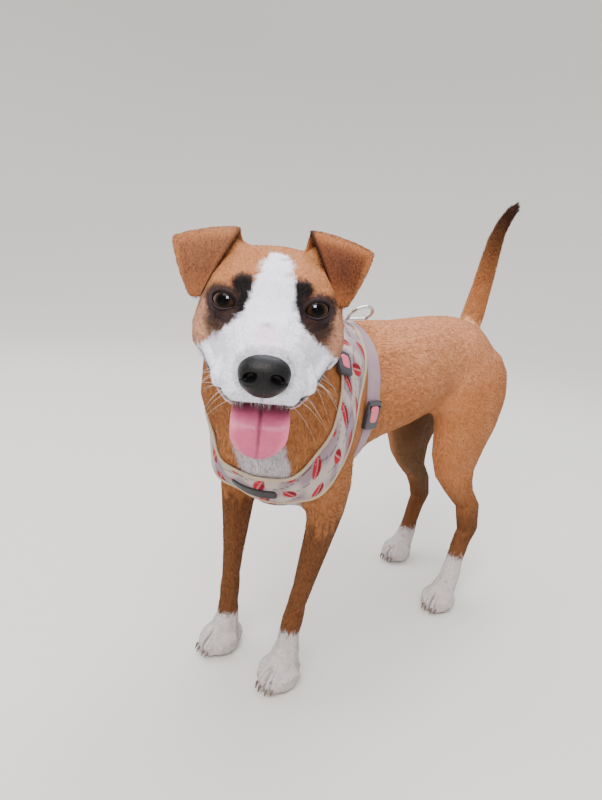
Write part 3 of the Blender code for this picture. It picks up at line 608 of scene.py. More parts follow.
def shapeToes(points, normals):
    # grooves midway between neighbouring claws part the front of each paw, and each toe swells behind
    # its claw
    for foot in feet:
        claws, middle = footPlaces(foot)
        front = claws.mean(0) - middle
        front = front * np.array([1, 1, 0]) / np.hypot(front[0], front[1])
        aside = np.array([-front[1], front[0], 0.0])
        pivot = middle - front * toePlan["pivot"]
        toes = np.sort(np.arctan2((claws - pivot) @ aside, (claws - pivot) @ front))
        ahead, z = (points - pivot) @ front, points[:, 2]
        turn, reach = np.arctan2((points - pivot) @ aside, ahead), np.hypot(*(points - pivot).T[:2])
        gaps = (toes[1:] + toes[:-1]) / 2
        part = sum(np.exp(-((turn - at) * reach / toePlan["narrow"]) ** 2) for at in gaps)
        full = sum(np.exp(-((turn - at) * reach / toePlan["wide"]) ** 2) for at in toes)
        low = (1 - ramp(z, 0.017, 0.026)) * ramp(z, 0.0012, 0.004)
        zone = (reach < 0.045) * ramp(ahead, 0.012, 0.024) * low
        points = points - normals * (zone * (toePlan["groove"] * part - toePlan["swell"] * full))[:, None]
    return points


shapeSkin(skin)
thinned(skin, skinPlan["share"])
for side in ("left", "right"):
    for reach in (0.014, 0.0105):
        refined(skin, eyeCentre(side) + Vector(eyeAxes(side)[2]) * 0.008, reach)
for foot in feet:
    claws, middle = footPlaces(foot)
    refined(skin, Vector(claws.mean(0) * 0.6 + middle * 0.4), 0.018)
toeless = pointsOf(skin.data)
movePoints(skin, shapeToes(toeless, normalsAt(toeless, trianglesOf(skin.data))))
plainTree = BVHTree.FromPolygons(pointsOf(skin.data).tolist(), trianglesOf(skin.data).tolist())
skinPoints = seatEyes(pointsOf(skin.data))
skinTri = trianglesOf(skin.data)
skinLabels = nearestLabel(skinPoints, fleshMarks, fleshLabels)
print("face shaped", len(skinTri))

# ---- ears: a cupped stalk up to the fold, then a triangular flap hanging forwards, with a fine edge
earPlan = {
    "rows": 84,
    "cols": 34,
    "thick": 0.0019,
    "edge": 0.0007,
    # two ends of the lines across the ear and how far they bow, in the head's frame
    "root": ((0.017, 0.028, 0.023), (0.047, 0.038, -0.003), (0.002, 0.017, 0.004)),
    "fold": ((0.0215, 0.0350, 0.0450), (0.0657, 0.0360, 0.0345), (0.0, -0.002, 0.0022)),
    "tip": (0.0465, 0.0110, 0.0045),
    "foldFrom": 0.42,           # the stalk ends and the flap begins, as shares of the length
    "foldTo": 0.55,
    "rightOut": 0.0038,         # how much further out the right ear stands
    "rightTone": "#A5704F",     # the light falls through the right ear
}


def vec(x, y, z):
    # three numbers that can be scaled and added
    return np.array([x, y, z])


def earSheet(side, out):
    # the middle surface: three lines across the ear, at its root, its fold and its tip, joined by bows
    v = np.linspace(0, 1, earPlan["rows"])[:, None, None]
    u = np.linspace(0, 1, earPlan["cols"])[None, :, None]
    bow = 4 * u * (1 - u)
    aside = vec(out, 0.0, -0.8 * out)
    lines = [[np.array(end) for end in earPlan[name]] for name in ("root", "fold")]
    root, fold = (inner * (1 - u) + outer * u + bowed * bow for inner, outer, bowed in lines)
    fold = fold + aside
    foldFrom, foldTo = earPlan["foldFrom"], earPlan["foldTo"]
    tip = np.array(earPlan["tip"]) + aside + vec(0.0085, 0.0020, 0.0) * (u - 0.5) + vec(0, 0, -0.0018) * bow
    back = fold + vec(0, 0.0065, -0.0030)
    front = fold + vec(0, -0.0010, -0.0012)
    t = np.clip(v / foldFrom, 0, 1)
    stalk = root + (back - root) * t + vec(0.001, 0.006, 0) * (4 * t * (1 - t)) * bow
    t = np.clip((v - foldFrom) / (foldTo - foldFrom), 0, 1)
    over = back + (front - back) * t + vec(0, 0, 0.0032) * 4 * t * (1 - t)
    t = np.clip((v - foldTo) / (1 - foldTo), 0, 1)
    flap = front + (tip - front) * t + vec(0.0012, -0.0052, 0.0015) * 4 * t * (1 - t) * (0.55 + 0.45 * bow)
    flap = flap + vec(0, -0.0022, 0) * bow * (1 - t)
    edges = np.clip(np.abs(2 * u - 1) - 0.7, 0, 1) / 0.3
    flap = flap + vec(0, -0.0012, 0) * edges * np.sin(math.pi * t)
    sheet = eased(np.where(v < foldFrom, stalk, np.where(v < foldTo, over, flap)), 14, False)
    return moved(headPlace, sheet.reshape(-1, 3) * np.array([side, 1, 1])).reshape(sheet.shape)


def eased(values, rounds, wrap):
    # each value is drawn to the mean of its two neighbours along the first direction
    values = values.copy()
    for _ in range(rounds):
        if wrap:
            values = 0.5 * values + 0.25 * (np.roll(values, 1, 0) + np.roll(values, -1, 0))
        else:
            values[1:-1] = 0.5 * values[1:-1] + 0.25 * (values[:-2] + values[2:])
    return values


def gridNormals(points, wrap):
    # the cross product of the grid's two directions
    down = np.roll(points, -1, 0) - np.roll(points, 1, 0) if wrap else np.gradient(points, axis=0)
    return unit(np.cross(down, np.gradient(points, axis=1)))


def earShell(side, out):
    # the sheet given two faces, half a thickness to either side, that draw together at the rim
    sheet = earSheet(side, out)
    normals = gridNormals(sheet, False)
    v = np.linspace(0, 1, earPlan["rows"])[:, None]
    u = np.linspace(0, 1, earPlan["cols"])[None, :]
    rim = np.minimum(np.minimum(u, 1 - u) / 0.09, (1 - v) / 0.05).clip(0, 1)
    thick = earPlan["edge"] + (earPlan["thick"] - earPlan["edge"]) * np.sqrt(1 - (1 - rim) ** 2)
    half = 0.5 * thick[..., None]
    outer, inner = sheet + normals * half, sheet - normals * half
    rows, cols = sheet.shape[:2]
    points = np.vstack([outer.reshape(-1, 3), inner.reshape(-1, 3)])
    grid = gridFaces(rows, cols)
    count = rows * cols
    index = np.arange(count).reshape(rows, cols)
    border = np.concatenate([index[0, :-1], index[:-1, -1], index[-1, :0:-1], index[:0:-1, 0]])
    after = np.roll(border, -1)
    walls = np.column_stack([border, after, after + count, border + count])
    tri = halved(np.vstack([grid, grid[:, ::-1] + count, walls[:, ::-1]]))
    a, b, c = (points[tri[:, k]] - points.mean(0) for k in range(3))
    if np.einsum("ij,ij->i", a, np.cross(b, c)).sum() < 0:
        tri = tri[:, ::-1]
    colours = np.tile(earTone(u, v), (2, 1))
    if side < 0:
        colours = blend(colours, linear(earPlan["rightTone"]), np.full(len(colours), 0.35))
    return points, tri, colours


def earTone(u, v):
    # rust in the middle of the flap, paler along the fold, the outer edge and the tip, dark along the inner
    # edge: the ear's own dark inside and painted shade in the crease against the head
    u, v = (k.ravel() for k in np.broadcast_arrays(u, v))
    pale = np.maximum(np.exp(-((v - 0.55) / 0.05) ** 2), ramp(u, 0.80, 0.98))
    pale = np.maximum(pale, 0.7 * ramp(v, 0.80, 1.0))
    colour = blend(np.tile(linear("#6B3C25"), (len(u), 1)), linear("#A5683F"), 0.85 * pale)
    middle = np.exp(-((u - 0.45) / 0.25) ** 2 - ((v - 0.74) / 0.10) ** 2)
    colour = blend(colour, linear("#4C2A1D"), 0.7 * middle)
    # dark inner edge: the ear's own dark inside, and painted shade in the crease against the head
    colour = blend(colour, linear("#24140E"), 0.9 * (1 - ramp(u, 0.02, 0.09)) * (v > 0.40))
    return blend(colour, linear("#A9693F"), 1 - ramp(v, 0.20, 0.40))


earColours = []
for index, (side, out) in enumerate(((1, 0.0), (-1, earPlan["rightOut"]))):
    points, tri, colours = earShell(side, out)
    earColours.append(colours)
    skinTri = np.vstack([skinTri, tri + len(skinPoints)])
    skinPoints = np.vstack([skinPoints, points])
    skinLabels = np.concatenate([skinLabels, np.full(len(points), len(fleshNodes) + index)])
labelNames = np.array(fleshNodes + earNodes)
bpy.data.objects.remove(skin)
skin = piece("skin", skinPoints, skinTri, None, None)
skinNormals = normalsAt(skinPoints, skinTri)
skinEnds = edgesOf(skin.data)
skinTree = BVHTree.FromPolygons(skinPoints.tolist(), skinTri.tolist())
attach(skin, "root")
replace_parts(skin, *fleshNodes, *earNodes)
print("skin shaped", len(skinTri))

# ---- markings, worked out from place alone so that skin and coat agree
coatColours = {
    "tan": "#A96C42",
    "palerTan": "#B47A50",
    # the tan of the top of the back, lighter: painted highlight of the light from above
    "litBackTan": "#CC8C66",
    "cheek": "#C9967C",
    "rust": "#945C38",
    "ear": "#8A5640",
    "neck": "#99633B",
    # the darker tone of the lower legs, used also for painted shade under the head
    "leg": "#5F3A22",
    "tailTip": "#2A1408",
    "white": "#F2F2FF",
    # the white of the throat greyed: painted shade under the head
    "throat": "#B9B0B6",
    "sock": "#C3BABA",
    "mask": "#0B090B",
    "maskEdge": "#241B1F",
    "grizzle": "#4A3A30",
    "belly": "#C9A596",
    "shade": "#51422F",
    "pinkSkin": "#E6C3CB",
    "lip": "#40333A",
    "noseFringe": "#8A8389",
}
tone = {key: linear(value) for key, value in coatColours.items()}


def paint(colour, name, share):
    # the coat's colours moved towards one tone
    return blend(colour, tone[name], share)


def spot(x, y, centre, radii, soft=0.25):
    # 1 inside an ellipse, falling to 0 over a soft edge
    far = np.hypot((x - centre[0]) / radii[0], (y - centre[1]) / radii[1])
    return 1 - ramp(far, 1 - soft, 1 + soft)


def lipNear(h):
    # how far places are from the edge of the upper lip, in millimetres, for those near the mouth
    far = np.full(len(h), 99.0)
    near = np.flatnonzero((h[:, 2] < -12) & (h[:, 1] < 20))
    at = np.linspace(0, 7, 90)
    line = np.stack([smoothCurve(np.arange(8.0), lipLine[:, k], at) for k in range(3)], 1) * 1000
    for start in range(0, len(near), 4000):
        rows = near[start:start + 4000]
        p = np.abs(h[rows] * np.array([1, 0, 0])) + h[rows] * np.array([0, 1, 1])
        apart = (p ** 2).sum(1)[:, None] + (line ** 2).sum(1)[None] - 2 * p @ line.T
        far[rows] = np.sqrt(np.min(apart, 1).clip(0))
    return far


# the marks of the face, in millimetres in the head's frame
markPlan = {
    # middle aside and up, half sizes, softness and raggedness of each spot
    "eyePatch": (
        ((28.6, 2.6), (14.4, 11.0), 0.14, 0.5),
        ((18.2, 15.4), (7.2, 5.2), 0.2, 0.5),
        ((17.0, 6.0), (5.6, 11.0), 0.15, 0.0),
    ),
    "underEye": (((32.0, -8.0), (9.0, 6.0), 0.5, 1.0),),
    "brow": (((18.4, 14.6), (6.4, 4.6), 0.3, 0.5), ((16.4, 5.0), (3.6, 9.0), 0.3, 0.0)),
    "blazeMiddle": 2.2,
    "blazeAt": (-24, -14, -8, -2, 6, 12, 17, 20, 22),               # from the nose to the crown
    "blazeLeft": (17, 12.6, 11.4, 10.8, 9.0, 8.0, 7.0, 5.6, 0.0),   # half widths to the dog's left and right
    "blazeRight": (20, 16.0, 14.2, 12.2, 9.4, 8.0, 7.0, 5.6, 0.0),
}


def spots(x, y, rag, plan):
    # the greatest of several spots with ragged edges
    return np.maximum.reduce([spot(x, y + ragged * rag, *where) for *where, ragged in plan])


def headMarks(h, colour, rag):
    # tan skull, dark patch round each eye, white blaze, cheeks and muzzle; h is in millimetres in the
    # head's frame
    x, y, z = h.T
    wide = np.abs(x)
    facing = y < 16
    colour = paint(colour, "palerTan", 0.4 * ramp(z, 2, 20) * (1 - ramp(y, 30, 50)))
    cheek = ramp(wide, 32, 39) * (1 - ramp(z, 0, 16)) * ramp(y, -24, -6) * (1 - ramp(y, 4, 24))
    colour = paint(colour, "cheek", 0.8 * cheek)
    colour = paint(colour, "neck", 0.8 * ramp(y - 0.6 * z, 18, 48))
    low = spot(wide + rag, z + 2 * rag, (34.5, -12), (7, 11), 0.45)
    colour = paint(colour, "grizzle", 0.75 * low * facing)
    under = 0.8 * spots(wide, z, rag, markPlan["underEye"])
    eyePatch = np.maximum(spots(wide, z, rag, markPlan["eyePatch"]), under) * facing
    colour = paint(colour, "maskEdge", 0.95 * eyePatch)
    colour = paint(colour, "mask", 0.9 * spots(wide, z, rag, markPlan["brow"]) * facing)
    middle = markPlan["blazeMiddle"]
    left, right = (np.interp(y, markPlan["blazeAt"], markPlan[f"blaze{word}"]) for word in ("Left", "Right"))
    half = np.where(x < middle, right, left)
    blaze = (1 - ramp(np.abs(x - middle) + 0.6 * rag, half - 0.8, half + 0.8)) * (z > 0) * (y < 23)
    cheek = (1 - ramp(z + 1.3 * rag, 17.6 - 1.05 * wide, 19.6 - 1.05 * wide)) * (1 - ramp(y + rag, 8, 15))
    front = 1 - ramp(y + rag, -26, -22)
    white = np.maximum.reduce([blaze, cheek, front])
    colour = paint(colour, "white", white)
    lip = lipNear(h)
    colour = paint(colour, "lip", (1 - ramp(lip, 1.4, 2.8)) * (0.35 + 0.6 * ramp(wide, 9, 18)) * (y < 8))
    # painted shade: a dark line in the crease of the cheek fold, 5 mm above the lip's edge
    fold = np.exp(-((lip - 5.0) / 0.8) ** 2) * ramp(wide, 27, 33) * (y < 8) * (y > -22)
    colour = paint(colour, "lip", 0.35 * fold)
    colour = paint(colour, "noseFringe", 0.55 * (y < -52) * spot(x, z, (0, -20.5), (17.6, 13.6), 0.10))
    colour = paint(colour, "lip", 0.6 * (y < -54) * (z < -33) * (1 - ramp(wide, 0.3, 1.1)))
    colour = paint(colour, "pinkSkin", 0.55 * spot(x, y, (0, -42), (9, 12), 0.6) * (z > -14))
    colour = paint(colour, "grizzle", 0.5 * spot(x, y, (-1, -33), (2.6, 1.5), 0.5) * (z > -6))
    return colour


# millimetres: the white of the throat from one edge to the other in the fore frame by height, and the height
# of the socks
bodyPlan = {
    "throatFrom": ((200, 225, 259, 268, 274), (-8, -12.4, -23.6, -16, 10)),
    "throatTo": ((200, 238, 255, 264, 275), (30, 34.6, 29.4, 12, 4)),
    "sockLeft": 54,
    "sockRight": 40,
    # on the forelegs this darkening is partly their own darker lower coat and partly painted shade under the
    # head
    "darkForeleg": 255,         # the legs darken from this height down
    "darkHindLeg": 175,
}


def coatColour(points, labels):
    # each region's tone, moved towards others by smooth steps in x, y and z, in millimetres, with ragged
    # edges
    name = labelNames[labels]
    rag = 0.7 * ripple(points, 0.005, 3) + 0.5 * ripple(points, 0.0022, 4)
    broad = ripple(points, 0.06, 5)
    h = moved(toHead, points) * 1000
    f = moved(toFore, points) * 1000
    x, y, z = (points * 1000).T
    colour = np.tile(tone["tan"], (len(points), 1))
    colour = paint(colour, "palerTan", 0.35 + 0.35 * broad.clip(-1, 1))
    # painted highlight: lighter along the top of the back and thighs, where the light from above and behind
    # falls
    litBack = np.isin(name, ["trunk", "left_thigh", "right_thigh"]) * ramp(z, 245, 335) * ramp(y, -60, 20)
    colour = paint(colour, "litBackTan", 0.75 * litBack)
    # painted shade: the lower breast, in the shadow of the head, darkened to the legs' tone
    breast = (name == "trunk") * (1 - ramp(y, -75, -45)) * (1 - ramp(z, 175, 215))
    colour = paint(colour, "leg", 0.65 * breast)
    neck = (name == "neck") | ((name == "trunk") & (y < -60))
    colour = paint(colour, "neck", 0.65 * neck * ramp(-y, 30, 80))
    isLeg = np.isin(name, [n for n in legNodes if "thigh" not in n])
    # lower legs darker: their own coat and, on the forelegs, also painted shade under the head
    high = np.where(y < 60, bodyPlan["darkForeleg"], bodyPlan["darkHindLeg"])
    colour = paint(colour, "leg", 0.9 * isLeg * (1 - ramp(z, high - 90, high)))
    tail = name == "tail"
    colour = paint(colour, "rust", 0.55 * tail * ramp(z, 330, 420))
    colour = paint(colour, "tailTip", 0.95 * tail * ramp(z, 365, 468))
    isEar = endsWith(name, "ear")
    colour = np.where(isEar[:, None], tone["ear"], colour)
    onHead = name == "head"
    colour = np.where(onHead[:, None], headMarks(h, colour, rag), colour)
    onJaw = name == "lower_jaw"
    colour = np.where(onJaw[:, None], tone["white"], colour)
    # the white of throat and chest, painted a greyer white for the shade under the head
    start, stop = (np.interp(z, *bodyPlan[edge]) for edge in ("throatFrom", "throatTo"))
    across = f[:, 0] + 1.5 * rag
    stripe = ramp(across, start - 2, start + 2) * (1 - ramp(across, stop - 2, stop + 2))
    stripe = stripe * (f[:, 1] < 10) * (z < 330)
    under = ramp(-f[:, 1], -12, 0)
    throat = stripe * under * (neck | (name == "trunk") | onJaw)
    colour = paint(colour, "throat", throat * ~onJaw)
    sockTop = np.where(np.char.startswith(name, "left_"), bodyPlan["sockLeft"], bodyPlan["sockRight"])
    isLow = endsWith(name, "paw") | endsWith(name, "pastern") | endsWith(name, "hock")
    colour = paint(colour, "sock", isLow * (1 - ramp(z + 3 * rag, sockTop - 2, sockTop + 3)))
    belly = (name == "trunk") * ramp(-z, -215, -195) * ramp(y, 0, 40)
    colour = paint(colour, "belly", 0.6 * belly)
    inside = np.isin(name, ["right_thigh", "right_shank"]) * ramp(x, -78, -60) * (1 - ramp(z, 210, 245))
    return paint(colour, "shade", 0.8 * inside)


skinColour = coatColour(skinPoints, skinLabels)
skinColour[-sum(len(c) for c in earColours):] = np.vstack(earColours)
# the hollows between the toes hold shade and dust
sunk = neighbourMean(skinPoints, skinEnds, len(skinPoints)) - skinPoints
hollow = np.einsum("ij,ij->i", sunk, skinNormals)
hollow = neighbourMean(hollow[:, None], skinEnds, len(skinPoints))[:, 0]
onPaw = endsWith(labelNames[skinLabels], "paw")
skinColour = blend(skinColour, tone["grizzle"], 0.5 * onPaw * ramp(hollow, 0.00001, 0.00012))
addColour(skin, "coatColour", skinColour)


def coatMaterial():
    # short flat hair: grains of 1.1 mm tint it and give one clear grain along the skin, with a soft gloss
    material, shader = newMaterial("shortDogHair")
    colour = add(material, "ShaderNodeVertexColor", layer_name="coatColour")
    where = add(material, "ShaderNodeTexCoord").outputs["Object"]
    noise = add(material, "ShaderNodeTexNoise", {"Vector": where}, Scale=900.0, Detail=3.0, Roughness=0.65)
    grain = noise.outputs["Fac"]
    span = {"From_Min": 0.3, "From_Max": 0.7, "To_Min": 0.86, "To_Max": 1.14}
    tint = add(material, "ShaderNodeMapRange", {"Value": grain}, **span)
    mixed = add(
        material, "ShaderNodeMix", {6: colour.outputs["Color"], 7: tint.outputs["Result"]},
        data_type="RGBA", blend_type="MULTIPLY", Factor=1.0,
    )
    bump = add(material, "ShaderNodeBump", {"Height": grain}, Strength=0.35, Distance=0.0008)
    wire(
        material, shader, {"Base Color": mixed.outputs[2], "Normal": bump.outputs["Normal"]},
        Roughness=0.62, Specular_IOR_Level=0.1,
    )
    return material


coatHair = coatMaterial()
skin.data.materials.clear()
skin.data.materials.append(coatHair)
print("markings painted")

# ---- eyes: one ball each with the iris painted by its angle from the gaze
irisPlan = {
    "bulge": 0.0007,            # height of the cornea
    "gazeAt": camera.location.copy(),
    "stops": [                  # pupil, iris, dark ring, then the rest of the ball, by angle over 180
        (0.0, "#020101"), (0.096, "#020101"), (0.112, "#130B07"), (0.15, "#2F1E15"), (0.200, "#422C1D"),
        (0.228, "#281910"), (0.245, "#0C0705"), (0.262, "#0E0909"), (0.31, "#1C1514"), (0.36, "#3A302D"),
    ],
}


def eyeMaterial():
    # wet cornea over a brown iris: a coat without grain gives the sharp window light
    material, shader = newMaterial("wetEye")
    gaze = add(material, "ShaderNodeUVMap", uv_map="gaze").outputs["UV"]
    parts = add(material, "ShaderNodeSeparateXYZ", {"Vector": gaze})
    streak = add(material, "ShaderNodeTexNoise", {"Vector": gaze}, Scale=14.0, Detail=4.0, Roughness=0.6)
    sway = add(material, "ShaderNodeMath", {0: streak.outputs["Fac"]}, operation="MULTIPLY_ADD")
    sway.inputs[1].default_value = 0.024
    sway.inputs[2].default_value = -0.012
    places = {0: parts.outputs["Y"], 1: sway.outputs["Value"]}
    place = add(material, "ShaderNodeMath", places, operation="ADD")
    colours = add(material, "ShaderNodeValToRGB", {"Fac": place.outputs["Value"]})
    setStops(colours, irisPlan["stops"])
    wire(
        material, shader, {"Base Color": colours.outputs["Color"]},
        Roughness=0.25, Specular_IOR_Level=0.0, Coat_Weight=0.4, Coat_Roughness=0.02, Coat_IOR=1.34,
    )
    return material


def makeEye(side, material):
    # a ball by angle from the gaze and turn round it, with the cornea raised over the iris
    centre = eyeCentre(side)
    out = Vector(eyeAxes(side)[2])
    gaze = (out * 0.72 + (Vector(irisPlan["gazeAt"]) - centre).normalized() * 0.28).normalized()
    across = gaze.orthogonal().normalized()
    above = gaze.cross(across)
    rows, cols = 56, 64
    away = np.linspace(0.004, math.pi - 0.004, rows)[:, None]
    turn = np.linspace(0, 2 * math.pi, cols, endpoint=False)[None, :]
    radius = eyePlan["radius"] + irisPlan["bulge"] * (1 - ramp(away, 0.35, 0.80))
    points = np.array(centre) + radius[..., None] * (
        np.cos(away)[..., None] * np.array(gaze)
        + (np.sin(away) * np.cos(turn))[..., None] * np.array(across)
        + (np.sin(away) * np.sin(turn))[..., None] * np.array(above)
    )
    faces = gridFaces(rows, cols, wrapCols=True)
    obj = closed(piece(f"{side}Eyeball", points.reshape(-1, 3), faces, material, "eye"))
    addUv(obj, "gaze", pairsOf(np.sin(turn) * 0.5, away / math.pi))
    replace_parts(obj, f"{side}_eye")


eyeGloss = eyeMaterial()
for side in ("left", "right"):
    makeEye(side, eyeGloss)


def lidMaterial():
    # hairless dark skin, nearly matt, with a grain of 0.7 mm
    material, shader = newMaterial("bareLidSkin")
    colour = add(material, "ShaderNodeVertexColor", layer_name="lidColour")
    where = add(material, "ShaderNodeTexCoord").outputs["Object"]
    grain = add(material, "ShaderNodeTexNoise", {"Vector": where}, Scale=1400.0, Detail=2.0)
    bump = add(material, "ShaderNodeBump", {"Height": grain.outputs["Fac"]}, Strength=0.4, Distance=0.0004)
    wire(
        material, shader, {"Base Color": colour.outputs["Color"], "Normal": bump.outputs["Normal"]},
        Roughness=0.7, Specular_IOR_Level=0.08,
    )
    return material


# the lid's section from inside the eye outwards, in mm: reach outside the opening, share of the face's
# height against the ball's, rise above that height
lidSection = np.array([
    (0.90, 0.0, -1.20), (0.20, 0.0, -0.70), (-0.15, 0.0, -0.10), (-0.22, 0.0, 0.12), (-0.14, 0.0, 0.34),
    (0.06, 0.0, 0.45), (0.28, 0.4, 0.40), (0.52, 0.8, 0.22), (0.80, 1.0, 0.08), (1.30, 1.0, 0.02),
    (2.00, 1.0, -0.03), (2.60, 1.0, -0.16), (3.20, 1.0, -0.70),
])


def makeLid(side, material):
    # the section carried round the almond; the upper lid is the heavier one
    cols = 96
    turn = np.linspace(0, 2 * math.pi, cols, endpoint=False)
    ex, ey = lidOpening(turn)
    length = np.hypot(ex, ey)
    reach, share, rise = (lidSection[:, k:k + 1] for k in range(3))
    reach, rise = reach * 0.001, rise * 0.001
    upper = ramp(np.sin(turn), -0.1, 0.5)[None, :]
    scale = (length[None, :] + reach) / length[None, :]
    x, y = ex[None, :] * scale, ey[None, :] * scale
    ball = np.sqrt(np.maximum(eyePlan["radius"] ** 2 - x ** 2 - y ** 2, 0.0))
    face = seatedHeight(x, y, faceHeight(plainTree, side, x, y))
    high = ball * (1 - share) + face * share + rise * (1 + 0.15 * upper * (rise > 0))
    points = outOfEye(np.stack([x, y, high], -1), side).reshape(-1, 3)
    faces = gridFaces(len(lidSection), cols, wrapCols=True)
    if np.linalg.det(eyeAxes(side)) < 0:
        faces = faces[:, ::-1]
    obj = piece(f"{side}Lid", points, faces, material, "coat")
    far, up = (k.ravel() for k in np.broadcast_arrays(reach * 1000, upper))
    colour = np.tile(linear("#050404"), (len(far), 1))
    rim = np.exp(-((far - 0.55) / 0.25) ** 2)
    colour = blend(colour, linear("#54444A"), rim * (0.9 - 0.85 * up))
    colour = blend(colour, linear("#1A1417"), ramp(far, 0.8, 1.2))
    addColour(obj, "lidColour", colour)


lidSkin = lidMaterial()
for side in ("left", "right"):
    makeLid(side, lidSkin)
print("eyes set")

# ---- nose leather
nosePlan = {
    "at": (0.0, -0.0665, -0.0198),      # in the head's frame
    "halfWide": 0.0147,
    "deep": 0.0090,
    "up": 0.0110,
    "down": 0.0128,
    "nostril": (0.0073, 0.0004),
}


def noseMaterial():
    # damp pebbled leather: cells about 0.7 mm across
    material, shader = newMaterial("noseLeather")
    where = add(material, "ShaderNodeTexCoord").outputs["Object"]
    cells = add(material, "ShaderNodeTexVoronoi", {"Vector": where}, Scale=1300.0).outputs["Distance"]
    colours = add(material, "ShaderNodeValToRGB", {"Fac": cells})
    setStops(colours, [(0.0, "#111013"), (0.6, "#060506")])
    bump = add(material, "ShaderNodeBump", {"Height": cells}, Strength=0.55, Distance=0.0003, invert=True)
    wire(
        material, shader, {"Base Color": colours.outputs["Color"], "Normal": bump.outputs["Normal"]},
        Roughness=0.42, Specular_IOR_Level=0.22, Coat_Weight=0.08, Coat_Roughness=0.25,
    )
    return material


def makeNose(material):
    # a broad ball, wide above and narrow below, with two pits, a slit beside each and a groove down
    # the middle
    rows, cols = 90, 120
    up = np.linspace(-math.pi / 2 + 0.01, math.pi / 2 - 0.01, rows)[:, None]
    turn = np.linspace(0, 2 * math.pi, cols, endpoint=False)[None, :]
    full = np.cos(up) ** np.where(up < 0, 0.56, 0.9)
    x, y, z = np.broadcast_arrays(full * np.sin(turn), -np.cos(up) * np.cos(turn), np.sin(up))
    wide = nosePlan["halfWide"] * (1 + 0.10 * z) * (1 - 0.24 * ramp(-z, 0.45, 1.0))
    tall = np.where(z > 0, nosePlan["up"], nosePlan["down"])
    px, pz = x * wide, z * tall
    py = y * nosePlan["deep"] + 0.0012 * z
    front = ramp(-y, 0.05, 0.5)
    away = np.abs(px)
    holeX, holeZ = nosePlan["nostril"]
    holeFar = ((away - holeX) / 0.0036) ** 2 + ((pz - holeZ + 0.20 * (away - 0.0066)) / 0.0025) ** 2
    hole = np.exp(-holeFar ** 1.7)
    slit = np.exp(-((away - 0.0120) / 0.0030) ** 2 - ((pz + 0.0016 + 0.25 * (away - 0.0078)) / 0.0009) ** 2)
    groove = np.exp(-(px / 0.0007) ** 2) * ramp(-pz, -0.002, 0.003)
    wing = np.exp(-((away - 0.0085) / 0.004) ** 2 - ((pz + 0.0045) / 0.0022) ** 2)
    py = py + front * (0.0056 * hole + 0.0022 * slit + 0.0008 * groove - 0.0008 * wing)
    points = moved(headPlace, np.stack([px, py, pz], -1).reshape(-1, 3) + np.array(nosePlan["at"]))
    obj = closed(piece("noseLeather", points, gridFaces(rows, cols, wrapCols=True), material, "nose"))
    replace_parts(obj, "nose")


makeNose(noseMaterial())

# ---- tongue, over the lower lip and hanging
tonguePlan = {
    "y": (-0.0140, -0.0300, -0.0450, -0.0540, -0.0595, -0.0622, -0.0634, -0.0640, -0.0642),
    "z": (-0.0490, -0.0500, -0.0510, -0.0528, -0.0565, -0.0615, -0.0668, -0.0708, -0.0740),
    "half": (0.0110, 0.0155, 0.0172, 0.0176, 0.0174, 0.0168, 0.0160, 0.0150, 0.0135),
    "thick": (0.0022, 0.0026, 0.0026, 0.0025, 0.0024, 0.0022, 0.0020, 0.0018, 0.0012),
    "tip": 0.0150,              # length of the rounded end
}


def tongueMaterial():
    # wet muscle with fine bristled buds, 0.6 mm apart
    material, shader = newMaterial("wetTongue")
    where = add(material, "ShaderNodeTexCoord").outputs["Object"]
    base = add(material, "ShaderNodeVertexColor", layer_name="tongueColour")
    buds = add(material, "ShaderNodeTexVoronoi", {"Vector": where}, Scale=1500.0)
    patch = add(material, "ShaderNodeTexNoise", {"Vector": where}, Scale=260.0, Detail=3.0).outputs["Fac"]
    span = {"From_Min": 0.3, "From_Max": 0.7, "To_Min": 0.90, "To_Max": 1.08}
    tint = add(material, "ShaderNodeMapRange", {"Value": patch}, **span)
    mixed = add(
        material, "ShaderNodeMix", {6: base.outputs["Color"], 7: tint.outputs["Result"]},
        data_type="RGBA", blend_type="MULTIPLY", Factor=1.0,
    )
    height = {"Height": buds.outputs["Distance"]}
    bump = add(material, "ShaderNodeBump", height, Strength=0.35, Distance=0.0003, invert=True)
    wire(
        material, shader, {"Base Color": mixed.outputs[2], "Normal": bump.outputs["Normal"]},
        Roughness=0.45, Specular_IOR_Level=0.3, Coat_Weight=0.22, Coat_Roughness=0.08,
        Subsurface_Weight=0.15, Subsurface_Radius=(0.003, 0.001, 0.0008), Subsurface_Scale=1.0,
    )
    return material


